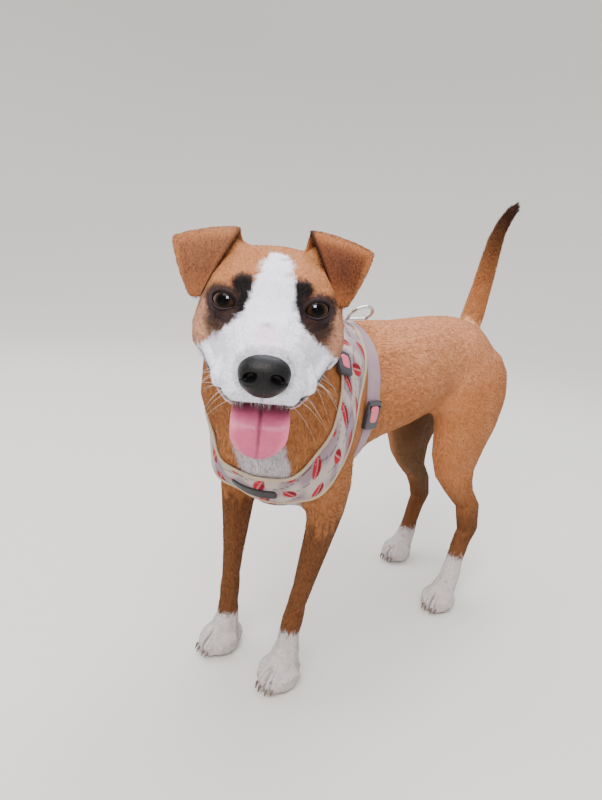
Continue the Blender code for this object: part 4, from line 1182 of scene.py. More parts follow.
def makeTongue(material):
    # an oval section carried along the fall, evenly by length; the last part narrows as a quarter ellipse
    rows, cols = 96, 128
    knots = np.linspace(0, 1, len(tonguePlan["y"]))
    dense = np.linspace(0, 1, 400)
    path = np.stack([smoothCurve(knots, tonguePlan[k], dense) for k in ("y", "z", "half", "thick")], 1)
    run = runLength(path[:, :2])
    s = 1 - (1 - np.linspace(0, 1, rows)) ** 1.6
    y, z, half, thick = (np.interp(s * run[-1], run, path[:, k]) for k in range(4))
    left = np.clip((s * run[-1] - (run[-1] - tonguePlan["tip"])) / tonguePlan["tip"], 0, 0.9985)
    half = half * np.sqrt(1 - left ** 2)
    thick = thick * (1 - 0.45 * left ** 3)
    alongY, alongZ = np.gradient(y), np.gradient(z)
    size = np.hypot(alongY, alongZ)
    overY, overZ = alongZ / size, -alongY / size
    turn = np.linspace(0, 2 * math.pi, cols, endpoint=False)
    across = np.cos(turn)[None, :]
    upper = np.sin(turn)[None, :]
    tip = ramp(s, 0.80, 1.0)[:, None]
    middle = np.exp(-(across * half[:, None] / 0.0009) ** 2) * np.clip(upper, 0, 1)
    lift = upper * thick[:, None] * (1 - 0.25 * across ** 2) - 0.0012 * middle * (1 - 0.8 * tip)
    lift = lift + 0.0014 * across ** 2 * (0.3 + s[:, None]) * (1 - left[:, None] ** 2)
    x = across * half[:, None]
    points = np.stack([x, y[:, None] + overY[:, None] * lift, z[:, None] + overZ[:, None] * lift], -1)
    points = moved(headPlace, points.reshape(-1, 3))
    obj = piece("wetTongue", points, gridFaces(rows, cols, wrapCols=True), material, "tongue")
    shade = (1 - ramp(s, 0.42, 0.66))[:, None] + 0 * across
    pink = blend(np.tile(linear("#BE5476"), (rows * cols, 1)), linear("#6E2F40"), 0.7 * shade.ravel())
    # painted shade: darker along the middle groove
    pink = blend(pink, linear("#7A2E45"), 0.9 * (middle * (1 - 0.5 * tip)).ravel())
    edge = ramp(np.abs(across), 0.70, 0.98) * (1 - 0.8 * shade)
    pink = blend(pink, linear("#D8768E"), edge.ravel() * 0.6)
    addColour(obj, "tongueColour", pink)
    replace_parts(closed(obj), "tongue")


makeTongue(tongueMaterial())
print("nose and tongue made")

# ---- corners of the mouth: a roll of gum and the dark lower lip under the edge of the upper one
# from and to along the lip line, by its steps of 0 to 7; how far in, how far down, and radius, in metres
mouthPlan = {
    "gum": (1.9, 5.6, 0.0028, 0.0030, 0.0025),
    "lowerLip": (1.9, 5.9, 0.0046, 0.0050, 0.0015),
    "upperLip": (1.3, 6.6, 0.0005, 0.0008, 0.0012),
}


def lipStretch(side, first, last, inward, down, count=40):
    # part of the lip line, by its own steps, moved inwards and down
    line, at = lipCurve(side, 141, inward, down)
    wanted = np.linspace(first, last, count)
    return np.stack([np.interp(wanted, at, line[:, k]) for k in range(3)], 1)


def wetMaterial(name, dark, light):
    # wet lining of the mouth, mottled every 2 mm
    material, shader = newMaterial(name)
    where = add(material, "ShaderNodeTexCoord").outputs["Object"]
    grain = add(material, "ShaderNodeTexNoise", {"Vector": where}, Scale=500.0, Detail=3.0).outputs["Fac"]
    colours = add(material, "ShaderNodeValToRGB", {"Fac": grain})
    setStops(colours, [(0.3, dark), (0.7, light)])
    bump = add(material, "ShaderNodeBump", {"Height": grain}, Strength=0.4, Distance=0.0006)
    wire(
        material, shader, {"Base Color": colours.outputs["Color"], "Normal": bump.outputs["Normal"]},
        Roughness=0.35, Coat_Weight=0.3, Coat_Roughness=0.15,
    )
    return material


def makeRoll(name, side, plan, material):
    # a round roll along the lip, tapered to nothing at both ends and a little wavy
    first, last, inward, down, radius = plan
    line = lipStretch(side, first, last, inward, down)
    t = np.linspace(0, 1, len(line))
    thick = radius * np.sqrt(np.clip(4 * t * (1 - t), 0.004, 1)) * (1 + 0.12 * np.sin(t * 31))
    points, quads = tube(line, thick, sides=14)
    closed(piece(name, points, quads, material, "tongue"))


gumSkin = wetMaterial("wetGum", "#A8505E", "#CF8590")
darkLip = wetMaterial("wetDarkLip", "#2A1D1F", "#4A383A")
for name, side in (("left", 1), ("right", -1)):
    makeRoll(f"{name}Gum", side, mouthPlan["gum"], gumSkin)
    makeRoll(f"{name}LowerLip", side, mouthPlan["lowerLip"], darkLip)
    makeRoll(f"{name}UpperLip", side, mouthPlan["upperLip"], darkLip)

# ---- whiskers: three-sided tapering hairs rooted in the skin
whiskerPlan = {
    "thick": 0.00021,
    "browThick": 0.0002,
    "lipThick": 0.00017,
    "perSide": 12,
    "lipHairs": 70,
    "browRoots": ((0.0165, -0.004, 0.030), (0.0185, -0.003, 0.028), (0.015, -0.005, 0.028)),
    "browWays": ((0.3, -0.75, 0.6), (0.6, -0.6, 0.5), (0.1, -0.8, 0.7)),
    "browLengths": (0.013, 0.010, 0.009),
}


def whiskerMaterial(name, colour, light):
    # a single stiff hair, glossy, its tone changing every few millimetres
    material, shader = newMaterial(name)
    where = add(material, "ShaderNodeTexCoord").outputs["Object"]
    grain = add(material, "ShaderNodeTexNoise", {"Vector": where}, Scale=300.0)
    colours = add(material, "ShaderNodeValToRGB", {"Fac": grain.outputs["Fac"]})
    setStops(colours, [(0.2, colour), (0.8, light)])
    wire(material, shader, {"Base Color": colours.outputs["Color"]}, Roughness=0.35)
    return material


def repeated(faces, step, times):
    # the same faces for each of many like pieces whose points follow each other
    return (faces[None] + (np.arange(times) * step)[:, None, None]).reshape(-1, faces.shape[1])


def hairs(name, roots, ways, lengths, thick, drop, material, steps=9):
    # all hairs at once: a root, a way out and a droop that grows with the square of the distance
    t = np.linspace(0, 1, steps)[None, :, None]
    line = roots[:, None] + ways[:, None] * lengths[:, None, None] * t
    line = line + np.array([0, 0, -1.0]) * ((drop * lengths)[:, None, None] * t ** 2)
    side = unit(np.cross(ways, np.array([0.05, 0.03, 1.0])))[:, None]
    over = np.cross(ways[:, None], side)
    turn = np.arange(3) * 2 * math.pi / 3
    ring = np.cos(turn)[:, None] * side[:, :, None] + np.sin(turn)[:, None] * over[:, :, None]
    width = (thick / 2 * (1 - 0.85 * t))[..., None]
    points = (line[:, :, None] + ring * width).reshape(-1, 3)
    last = steps * 3
    one = np.vstack([halved(gridFaces(steps, 3, False, True)), [[0, 2, 1], [last - 3, last - 2, last - 1]]])
    piece(name, points, repeated(one, last, len(roots)), material, "coat")


def onSkin(points):
    # the nearest places of the skin, a hair's breadth under it
    out = []
    for p in points:
        where, normal, _, _ = skinTree.find_nearest(Vector(p))
        out.append(np.array(where) - np.array(normal) * 0.0006)
    return np.array(out)


def makeWhiskers(material, dark):
    # a bed of whiskers over each half of the lip, three hairs over each eye, and short hairs along the lip
    rng = np.random.default_rng(7)
    up = headTurn @ np.array([0, 0, 1.0])
    for name, side in (("left", 1), ("right", -1)):
        n = whiskerPlan["perSide"]
        start = lipStretch(side, 1.5, 4.3, -0.002, 0.0, n)
        start = start[rng.permutation(n)] + up * rng.uniform(0.004, 0.014, n)[:, None]
        aside, ahead = side * rng.uniform(0.55, 1.0, n), rng.uniform(-0.45, 0.5, n)
        way = unit(np.column_stack([aside, ahead, rng.uniform(-0.55, 0.25, n)])) @ headTurn.T
        length, droop = rng.uniform(0.010, 0.026, n), rng.uniform(0.3, 1.0, n)
        hairs(f"{name}Whiskers", onSkin(start), way, length, whiskerPlan["thick"], droop, material)
        mirror = np.array([side, 1, 1])
        roots = onSkin(moved(headPlace, np.array(whiskerPlan["browRoots"]) * mirror))
        way, length = unit(np.array(whiskerPlan["browWays"]) * mirror), np.array(whiskerPlan["browLengths"])
        hairs(f"{name}BrowHairs", roots, way @ headTurn.T, length, whiskerPlan["browThick"], 0.1, dark)
    n = whiskerPlan["lipHairs"]
    steps = np.concatenate([rng.uniform(0.0, 1.9, n // 2), rng.uniform(0.0, 1.9, n // 2)])
    sides = np.repeat([1, -1], n // 2)
    line = {s: lipCurve(s, 141, 0.0, 0.0) for s in (1, -1)}
    start = [[np.interp(a, line[s][1], line[s][0][:, k]) for k in range(3)] for a, s in zip(steps, sides)]
    start = np.array(start) + up * rng.uniform(0.0005, 0.0030, n)[:, None]
    way = np.column_stack([rng.normal(0, 0.25, n), rng.uniform(-0.6, -0.15, n), rng.uniform(-1.0, -0.8, n)])
    way, length = unit(way) @ headTurn.T, rng.uniform(0.0020, 0.0055, n)
    hairs("lipHairs", onSkin(start), way, length, whiskerPlan["lipThick"], 0.0, material, 5)


whiteWhisker = whiskerMaterial("whiteWhisker", "#D8D2C8", "#F2EEE8")
darkWhisker = whiskerMaterial("darkWhisker", "#1A1412", "#3A2E2A")
makeWhiskers(whiteWhisker, darkWhisker)
print("whiskers set")

# ---- coat: thin closed blades that lie along the body, finest on the face and the feet
# by region: length, width and rise of a blade in millimetres, and blades to a square millimetre
coatPlan = {
    "muzzle": (2.3, 0.24, 0.22, 1.35),
    "face": (2.7, 0.26, 0.26, 1.35),
    "skull": (3.6, 0.30, 0.30, 1.05),
    "ear": (2.6, 0.26, 0.18, 1.00),
    "neck": (4.8, 0.36, 0.45, 0.80),
    "trunk": (4.6, 0.38, 0.32, 0.52),
    "leg": (3.4, 0.32, 0.28, 0.72),
    "paw": (2.2, 0.30, 0.24, 0.95),
    "tail": (6.0, 0.42, 0.80, 0.80),
    "jaw": (3.6, 0.30, 0.50, 1.00),
}
bladeShades = (0.88, 0.88, 0.99, 1.08)      # root, root, ridge and tip of a blade, against the skin's tone


def regionOf(points, labels):
    # the row of the coat's plan that each place takes; the head has three, parted by planes across it
    name = labelNames[labels]
    h = moved(toHead, points) * 1000
    region = np.where(np.isin(name, legNodes), "leg", name)
    onHead = name == "head"
    others = {"paw": endsWith(name, "paw"), "ear": endsWith(name, "ear"), "jaw": name == "lower_jaw"}
    others.update({"skull": onHead, "face": onHead & (h[:, 1] < 14), "muzzle": onHead & (h[:, 1] < -12)})
    for word, here in others.items():
        region = np.where(here, word, region)
    return region


def lieOfCoat():
    # which way hair points at each place: back along head and body, down the legs, out along tail and toes,
    # with each way eased into its neighbours
    name = labelNames[skinLabels]
    h = moved(toHead, skinPoints) * 1000
    out = np.sign(h[:, 0]) * ramp(np.abs(h[:, 0]), 0, 12)
    high = ramp(h[:, 2], -5, 20)
    headFlow = np.column_stack([out * (0.45 - 0.25 * high), np.full(len(h), 1.0), -0.65 + 0.9 * high])
    ways = (
        (np.isin(name, ["head", "lower_jaw"]), headFlow @ headTurn.T),
        (name == "neck", (-0.35, 0.45, -0.85)),
        ((name == "trunk") & (skinPoints[:, 1] < -0.105), (0.0, 0.1, -1.0)),
        (np.isin(name, legNodes), (0.0, 0.18, -1.0)),
        (np.isin(name, ["left_thigh", "right_thigh"]), (0.0, 0.65, -0.75)),
        (endsWith(name, "paw"), (0.0, -0.75, -0.55)),
        (name == "tail", (0.08, 0.35, 0.92)),
        (endsWith(name, "ear"), np.array([0.0, -0.35, -1.0]) @ headTurn.T),
    )
    flow = np.tile((0.0, 0.9, -0.35), (len(skinPoints), 1))
    for here, way in ways:
        flow = np.where(here[:, None], way, flow)
    for _ in range(14):
        flow = neighbourMean(flow, skinEnds, len(skinPoints))
    return unit(flow)


skinFlow = lieOfCoat()


def unwrapPlaces(points, normals):
    # a plain unwrap: each place goes to the chart of the side that it faces, six charts in a three by two
    # sheet
    low, high = points.min(0), points.max(0)
    share = (points - low) / (high - low)
    axis = np.abs(normals).argmax(1)
    side = (normals[np.arange(len(normals)), axis] > 0).astype(int)
    a = np.where(axis == 0, share[:, 1], share[:, 0])
    b = np.where(axis == 2, share[:, 1], share[:, 2])
    return np.column_stack([(axis + 0.04 + 0.92 * a) / 3, (side + 0.04 + 0.92 * b) / 2])


def ontoLids(roots, normals):
    # roots round the eyes are lifted to the lid sheet and stand out from the ball
    for side in ("left", "right"):
        local = intoEye(roots, side)
        reach = openingReach(local[:, 0], local[:, 1])
        close = (np.hypot(local[:, 0], local[:, 1]) < 0.014) & (local[:, 2] > 0)
        near = np.flatnonzero(close & (reach < 0.0034))
        if len(near):
            x, y = local[near, 0], local[near, 1]
            share = 1 - ramp(reach[near], 0.0026, 0.0034)
            high = seatedHeight(x, y, faceHeight(plainTree, side, x, y))
            local[near, 2] += (high - local[near, 2]) * share
            normals[near] = unit(blend(normals[near], unit(local[near]) @ eyeAxes(side), share))
            roots[near] = outOfEye(local[near], side)
    return roots, normals


def blades(name, pick, seed, place):
    # roots are strewn over the picked triangles by area and density; each blade is a four-sided sliver
    # with a ridge, and its patch of the map lies at its root's place
    rng = np.random.default_rng(seed)
    tri = skinTri[pick]
    a, b, c = (skinPoints[tri[:, k]] for k in range(3))
    area = 0.5 * np.linalg.norm(np.cross(b - a, c - a), axis=1) * 1e6
    region = regionOf((a + b + c) / 3, skinLabels[tri[:, 0]])
    plan = np.array([coatPlan[r] for r in coatPlan])
    kind = np.array([list(coatPlan).index(r) for r in region])
    wanted = area * plan[kind, 3]
    count = int(wanted.sum())
    which = np.searchsorted(np.cumsum(wanted) / wanted.sum(), np.sort(rng.random(count)))
    which = np.minimum(which, len(tri) - 1)
    s, t = rng.random(count), rng.random(count)
    s, t = np.where(s + t > 1, 1 - s, s), np.where(s + t > 1, 1 - t, t)
    weights = np.column_stack([1 - s - t, s, t])

    def mix(values):
        # the skin's values at the roots
        return np.einsum("nk,nkd->nd", weights, values[tri[which]])

    bare = lidReach(mix(skinPoints))
    lip = lipNear(moved(toHead, mix(skinPoints)) * 1000)
    keep = (bare > 0.0007) & (lip > 1.5)
    which, weights, bare = (k[keep] for k in (which, weights, bare))
    count = len(which)
    root, normal = ontoLids(mix(skinPoints), unit(mix(skinNormals)))
    flow = mix(skinFlow)
    long, wide, rise, _ = plan[kind[which]].T * 0.001
    long = long * (0.4 + 0.6 * ramp(bare, 0.001, 0.006))
    label = skinLabels[tri[which, 0]]
    flap = endsWith(labelNames[label], "ear")
    kept = flap | endsWith(labelNames[label], "paw")
    colour = np.where(kept[:, None], mix(skinColour), coatColour(root, label))
    flow = flow + rng.normal(scale=0.16, size=(count, 3))
    along = unit(flow - normal * np.einsum("nd,nd->n", flow, normal)[:, None])
    side = np.cross(normal, along)
    long = long * rng.uniform(0.7, 1.25, count)
    rise = rise * rng.uniform(0.5, 1.6, count)
    rise = rise * np.where(labelNames[label] == "tail", 1 + 1.8 * ramp(root[:, 2], 0.34, 0.46), 1.0)
    wide = wide * rng.uniform(0.75, 1.2, count)
    start = root - normal * 0.0002
    points = np.stack([
        start + side * wide[:, None] / 2,
        start - side * wide[:, None] / 2,
        start + along * (0.42 * long)[:, None] + normal * (0.00025 + 0.55 * rise + 0.22 * wide)[:, None],
        start + along * long[:, None] + normal * (0.00018 + rise)[:, None],
    ], 1)
    faces = repeated(np.array([[0, 1, 2], [0, 2, 3], [2, 1, 3], [0, 3, 1]]), 4, count)
    obj = piece(name, points.reshape(-1, 3), faces, coatTips, "coat")
    bright = rng.normal(1.0, 0.07, count).clip(0.8, 1.2)[:, None, None]
    shades = colour[:, None, :] * bright * np.array(bladeShades)[None, :, None]
    addColour(obj, "coatColour", shades.reshape(-1, 3).clip(0, 1))
    chart = unwrapPlaces(moved(place, root), normal @ place[:3, :3].T)
    corners = np.array([(-0.0015, -0.0015), (0.0015, -0.0015), (0.0003, 0.0005), (0.0, 0.0015)])
    patch = chart[:, None] + corners[None]
    addUv(obj, "OFBake", patch.reshape(-1, 2))
    return count


def tipMaterial():
    # single hairs seen as fine slivers: satin along their length
    material, shader = newMaterial("shortDogHairTips")
    colour = add(material, "ShaderNodeVertexColor", layer_name="coatColour")
    wire(material, shader, {"Base Color": colour.outputs["Color"]}, Roughness=0.55, Specular_IOR_Level=0.1)
    return material


coatTips = tipMaterial()
triLabel = labelNames[skinLabels[skinTri[:, 0]]]
triMiddle = skinPoints[skinTri].mean(1)
headBack = moved(toHead, triMiddle)[:, 1]
onHead = triLabel == "head"
coatPieces = {
    "muzzleCoat": onHead & (headBack < -0.012),
    "faceCoat": onHead & (headBack >= -0.012) & (headBack < 0.014),
    "skullCoat": onHead & (headBack >= 0.014),
    "jawCoat": triLabel == "lower_jaw",
    "leftEarCoat": triLabel == "left_ear",
    "rightEarCoat": triLabel == "right_ear",
    "neckCoat": triLabel == "neck",
    "trunkFrontCoat": (triLabel == "trunk") & (triMiddle[:, 1] < 0.02),
    "trunkRearCoat": (triLabel == "trunk") & (triMiddle[:, 1] >= 0.02),
    "tailCoat": triLabel == "tail",
}
for side in ("left", "right"):
    for limb, parts in legParts.items():
        coatPieces[f"{side}{limb}LegCoat"] = np.isin(triLabel, [f"{side}_{part}" for part in parts])
total = 0
for seed, (name, pick) in enumerate(coatPieces.items()):
    headLike = name.startswith(("muzzle", "face", "skull", "jaw", "leftEar", "rightEar"))
    total += blades(name, pick, 100 + seed, toHead if headLike else np.eye(4))
print("coat laid", total)

# ---- harness: padded neck band, girth strap and breast strap, all laid on the coat
bandPlan = {
    "frontEdge": ((-0.100, 0.1655), (0.075, 0.4315)),     # (y, z) in the fore frame, low end and high end
    "rearEdge": ((-0.100, 0.1125), (0.100, 0.4042)),
    "around": 640,
    "across": 30,
    "pad": 0.0030,              # crown of the padding
    "lift": 0.0010,             # height of the edges over the skin
    "flare": 0.0050,            # how far the rear edge stands off the dog's right shoulder
}
girthPlan = {
    "at": (0.002, -0.056, 0.270),
    "yaw": 10.0,
    "pitch": -7.0,
    "half": 0.0088,             # half the strap's width
    "around": 520,
    "across": 16,
    "pad": 0.0012,
    "lift": 0.0009,
}
breastPlan = {"half": 0.0105, "along": 160, "across": 18, "pad": 0.0014, "lift": 0.0010}
bindingPlan = {"wide": 0.0022, "high": 0.0014, "rise": 0.0016}
strapUnder = -0.0003            # how far the straps' inner faces lie in the coat


def laidOnSkin(starts, ways):
    # the first place where each ray meets the skin, for a grid of rays
    rows, cols = starts.shape[:2]
    reach = np.empty((rows, cols))
    for i in range(rows):
        for j in range(cols):
            hit = skinTree.ray_cast(Vector(starts[i, j]), Vector(ways[i, j]))
            reach[i, j] = hit[3] if hit[0] is not None else np.nan
    return reach


def ringOfRays(centres, sideways, upwards, around):
    # rays fan out from each centre in the plane of its two directions
    turn = np.linspace(0, 2 * math.pi, around, endpoint=False)[:, None, None]
    ways = np.cos(turn) * sideways[None] + np.sin(turn) * upwards[None]
    return np.broadcast_to(centres[None], ways.shape), ways


def layLoop(centres, sideways, upwards, around, coarse=160):
    # rays are cast sparsely, their lengths eased, and read off between
    starts, ways = ringOfRays(centres, sideways, upwards, coarse)
    reach = laidOnSkin(starts, ways)
    for j in range(reach.shape[1]):
        bad = np.isnan(reach[:, j])
        reach[bad, j] = np.interp(np.flatnonzero(bad), np.flatnonzero(~bad), reach[~bad, j])
    reach = eased(reach, 6, True)
    reach = eased(reach.T.copy(), 2, False).T
    fine = np.arange(around) * coarse / around
    low = np.floor(fine).astype(int)
    share = (fine - low)[:, None]
    a, b = reach[low % coarse], reach[(low + 1) % coarse]
    reach = eased(a + (b - a) * share, 8, True)
    starts, ways = ringOfRays(centres, sideways, upwards, around)
    return outwards(starts + ways * reach[..., None], ways, True)


def outwards(points, ways, wrap):
    # the points with their normals turned to the side that the rays run to
    normals = gridNormals(points, wrap)
    if (normals * ways).sum() < 0:
        normals = -normals
    return points, normals


def stripPiece(name, points, normals, height, under, material, slot, wrap, colours=None):
    # an outer face at a height over the skin and an inner face under it, joined along both edges
    outer = points + normals * height[None, :, None]
    shell = np.concatenate([outer, (points + normals * under)[:, ::-1]], 1)
    rows, cols = shell.shape[:2]
    obj = closed(piece(name, shell.reshape(-1, 3), gridFaces(rows, cols, wrap, True), material, slot))
    half = cols // 2
    width = np.linalg.norm(points[:, -1] - points[:, 0], axis=1).mean()
    v = np.concatenate([np.linspace(0, 1, half), np.linspace(1, 0, half)]) * width
    uv = pairsOf(runLength(points[:, half // 2])[:, None], v[None, :])
    addUv(obj, "cloth", uv)
    if colours is not None:
        addColour(obj, "print", colours(uv))
    return obj


def clothMaterial(name, plain=None):
    # woven polyester, threads 0.5 mm apart, drawn at 1.6 mm so that they show, and soil in patches of 17 mm
    material, shader = newMaterial(name)
    uv = add(material, "ShaderNodeUVMap", uv_map="cloth").outputs["UV"]
    where = add(material, "ShaderNodeTexCoord").outputs["Object"]
    threads = [
        add(
            material, "ShaderNodeTexWave", {"Vector": uv},
            wave_type="BANDS", bands_direction=way, Scale=200.0, Distortion=0.6,
        ).outputs["Fac"]
        for way in "XY"
    ]
    weave = add(material, "ShaderNodeMath", dict(enumerate(threads)), operation="MAXIMUM").outputs["Value"]
    shade = add(material, "ShaderNodeMapRange", {"Value": weave}, To_Min=0.86, To_Max=1.04)
    soil = add(material, "ShaderNodeTexNoise", {"Vector": where}, Scale=60.0, Detail=4.0).outputs["Fac"]
    span = {"From_Min": 0.3, "From_Max": 0.7, "To_Min": 0.88, "To_Max": 1.05}
    wear = add(material, "ShaderNodeMapRange", {"Value": soil}, **span)
    both = {0: shade.outputs["Result"], 1: wear.outputs["Result"]}
    inputs = {7: add(material, "ShaderNodeMath", both, operation="MULTIPLY").outputs["Value"]}
    if not plain:
        inputs[6] = add(material, "ShaderNodeVertexColor", layer_name="print").outputs["Color"]
    mixed = add(material, "ShaderNodeMix", inputs, data_type="RGBA", blend_type="MULTIPLY", Factor=1.0)
    if plain:
        mixed.inputs[6].default_value = rgba(plain)
    bump = add(material, "ShaderNodeBump", {"Height": weave}, Strength=0.4, Distance=0.0003)
    wire(
        material, shader, {"Base Color": mixed.outputs[2], "Normal": bump.outputs["Normal"]},
        Roughness=0.8, Specular_IOR_Level=0.2,
    )
    return material


printPlan = {
    "ground": "#93808A",
    "groundPale": "#B7A9A4",
    "red": "#A81F2E",
    "redDeep": "#7A1622",
    "twig": "#2A272E",
    "pitch": 0.0250,            # between columns of seeds
    "drop": 0.5,                # every other column is this part of a repeat lower
    "seed": 0.0080,             # half a seed's length
}


def pebblePrint(uv):
    # a half-drop repeat of red seed shapes, each split by a pale rib, with curved twigs and small dots
    u, v = uv.T
    pitch, size = printPlan["pitch"], printPlan["seed"]
    names = ("ground", "groundPale", "red", "redDeep", "twig")
    ground, pale, red, redDeep, dark = (linear(printPlan[name]) for name in names)
    column = np.floor(u / pitch)
    a = (u / pitch - column - 0.5) * pitch
    b = ((v / (pitch * 0.92) + printPlan["drop"] * (column % 2) + 0.15) % 1.0 - 0.5) * pitch * 0.92
    lean = np.where(column % 2 > 0, 0.6, -0.5)
    p, q = a * np.cos(lean) - b * np.sin(lean), a * np.sin(lean) + b * np.cos(lean)
    seed = (np.abs(p) / (0.62 * size)) ** 1.6 + (np.abs(q) / size) ** 2.0
    place = np.stack([u, v, np.zeros_like(u)], 1)
    colour = np.tile(ground, (len(u), 1))
    colour = blend(colour, pale, ramp(ripple(place, 0.03, 21), -0.4, 0.6))
    twig = np.abs(((v - 0.0035 * np.sin(u / 0.0095)) / 0.0125) % 1.0 - 0.5) * 0.0125
    colour = blend(colour, dark, 0.7 * (1 - ramp(twig, 0.00025, 0.0007)) * (ripple(place, 0.05, 23) > -0.1))
    dot = np.hypot(a + 0.0050, b - 0.0046)
    colour = blend(colour, dark, 0.8 * (1 - ramp(dot, 0.0007, 0.0011)))
    colour = blend(colour, red, 1 - ramp(seed, 0.85, 1.15))
    colour = blend(colour, redDeep, (1 - ramp(seed, 0.8, 1.0)) * ramp(p, 0.0, 0.0016))
    return blend(colour, pale, 0.7 * (seed < 0.8) * (1 - ramp(np.abs(p), 0.0002, 0.0006)))


def padHeight(plan, v):
    # crowned across, pulled in towards both edges
    return plan["lift"] + plan["pad"] * np.clip(1 - np.abs(2 * v - 1) ** 3, 0, 1) ** 0.6


def edgeTube(name, points, normals, column, material):
    # an oval rolled along one edge of the band
    out = normals[:, column]
    line = points[:, column] + out * bindingPlan["rise"]
    side = unit(points[:, -1] - points[:, 0])
    turn = np.linspace(0, 2 * math.pi, 12, endpoint=False)
    aside = side[:, None] * (np.cos(turn) * bindingPlan["wide"])[None, :, None]
    oval = line[:, None] + aside + out[:, None] * (np.sin(turn) * bindingPlan["high"])[None, :, None]
    obj = piece(name, oval.reshape(-1, 3), gridFaces(len(line), 12, True, True), material, "webbing")
    addUv(closed(obj), "cloth", pairsOf(runLength(line)[:, None], turn * bindingPlan["wide"]))


# between stitches, and half a stitch's length, width and height
strapThread = (0.0030, (0.0009, 0.00022, 0.00018))
labelThread = (0.0024, (0.0007, 0.00018, 0.00015))


def stitches(name, points, normals, column, height, material, slot, thread=strapThread):
    # short rounded threads along one column of a strip, at a height over it
    pitch, size = thread
    normals = normals[:, column]
    line = points[:, column] + normals * height
    length = runLength(line)
    spots = np.arange(pitch / 2, length[-1], pitch)
    place, before, after = (readOff(spots + step, length, line) for step in (0.0, -0.0004, 0.0004))
    out, ahead = unit(readOff(spots, length, normals)), unit(after - before)
    side = np.cross(out, ahead)
    rings = ((-1.0, 0.45), (-0.55, 1.0), (0.55, 1.0), (1.0, 0.45))
    turn = np.linspace(0, 2 * math.pi, 6, endpoint=False)
    shape = np.array([(s, math.cos(t) * w, math.sin(t) * w) for s, w in rings for t in turn]) * size
    x, y, z = (shape[None, :, k:k + 1] for k in range(3))
    shaped = place[:, None] + x * ahead[:, None] + y * side[:, None] + z * out[:, None]
    caps = np.array([[0, 1, 2, 3], [0, 3, 4, 5], [18, 21, 20, 19], [18, 23, 22, 21]])[:, ::-1]
    faces = np.vstack([repeated(one, 24, len(spots)) for one in (gridFaces(4, 6, False, True), caps)])
    piece(name, shaped.reshape(-1, 3), faces, material, slot)


def readOff(spots, length, values):
    # rows of values read off at distances along their line
    return np.stack([np.interp(spots, length, column) for column in values.T], 1)


printedCloth = clothMaterial("printedPolyester")
creamTape = clothMaterial("creamBindingTape", "#B8A68E")
greyWeb = clothMaterial("lilacWebbing", "#A48C98")


def makeBand():
    # rays from a line midway between the band's low and high ends
    v = np.linspace(0, 1, bandPlan["across"])
    front, rear = np.array(bandPlan["frontEdge"]), np.array(bandPlan["rearEdge"])
    low, high = (front[k] * (1 - v[:, None]) + rear[k] * v[:, None] for k in (0, 1))
    centres = moved(forePlace, np.column_stack([np.zeros(len(v)), low + (high - low) * 0.5]))
    upwards = np.column_stack([np.zeros(len(v)), unit(high - low)]) @ foreTurn.T
    sideways = np.tile(foreTurn[:, 0], (len(v), 1))
    points, normals = layLoop(centres, sideways, upwards, bandPlan["around"])
    right = ramp(-moved(toFore, points.reshape(-1, 3))[:, 0].reshape(points.shape[:2]), 0.02, 0.05)
    points = points + normals * (right * (0.0005 + bandPlan["flare"] * v))[..., None]
    height = padHeight(bandPlan, v)
    stripPiece("neckBand", points, normals, height, strapUnder, printedCloth, "webbing", True, pebblePrint)
    edgeTube("neckBandFrontBinding", points, normals, 0, creamTape)
    edgeTube("neckBandRearBinding", points, normals, -1, creamTape)
    for name, column in (("Front", 3), ("Rear", -4)):
        high = height[column] + 0.0001
        stitches(f"neckBand{name}Stitches", points, normals, column, high, creamTape, "webbing")
    return points, normals, height


bandPoints, bandNormals, bandHeight = makeBand()


def makeGirth():
    # rays from a short line across the strap, round the chest
    v = np.linspace(-1, 1, girthPlan["across"]) * girthPlan["half"]
    place = placeOf(girthPlan["at"], girthPlan["yaw"], girthPlan["pitch"])
    turn = np.array(place)[:3, :3]
    centres = moved(place, np.column_stack([0 * v, v, 0 * v]))
    sideways, upwards = (np.tile(turn[:, k], (len(v), 1)) for k in (0, 2))
    points, normals = layLoop(centres, sideways, upwards, girthPlan["around"])
    height = padHeight(girthPlan, np.linspace(0, 1, len(v)))
    stripPiece("girthStrap", points, normals, height, strapUnder, greyWeb, "webbing", True)
    for name, column in (("Front", 2), ("Rear", -3)):
        high = height[column] + 0.0001
        stitches(f"girth{name}Stitches", points, normals, column, high, creamTape, "webbing")
    return points, normals


girthPoints, girthNormals = makeGirth()


def makeBreast():
    # from the band's lowest place back between the forelegs to the girth strap
    t = np.linspace(0, 1, breastPlan["along"])
    v = np.linspace(-1, 1, breastPlan["across"]) * breastPlan["half"]
    lean = np.radians(np.interp(t, [0, 0.35, 1], [28, 90, 90]))
    y = np.interp(t, [0, 0.35, 1], [-0.012, -0.012, 0.060])
    starts = np.stack(np.broadcast_arrays(v[None, :], y[:, None], np.full((len(t), 1), 0.250)), -1)
    ways = np.stack(np.broadcast_arrays(0 * v[None, :], -np.cos(lean)[:, None], -np.sin(lean)[:, None]), -1)
    starts, ways = moved(forePlace, starts.reshape(-1, 3)).reshape(starts.shape), ways @ foreTurn.T
    reach = eased(eased(laidOnSkin(starts, ways), 10, False).T.copy(), 2, False).T
    points, normals = outwards(starts + ways * reach[..., None], ways, False)
    height = padHeight(breastPlan, np.linspace(0, 1, len(v)))
    looks = (printedCloth, "webbing", False, pebblePrint)
    stripPiece("breastStrap", points, normals, height, strapUnder, *looks)


makeBreast()
straps = {"neckBand": "neck_band", "girthStrap": "girth_strap", "breastStrap": "breast_strap"}
for name, node in straps.items():
    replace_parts(bpy.data.objects[name], f"harness_{node}")
print("straps laid")


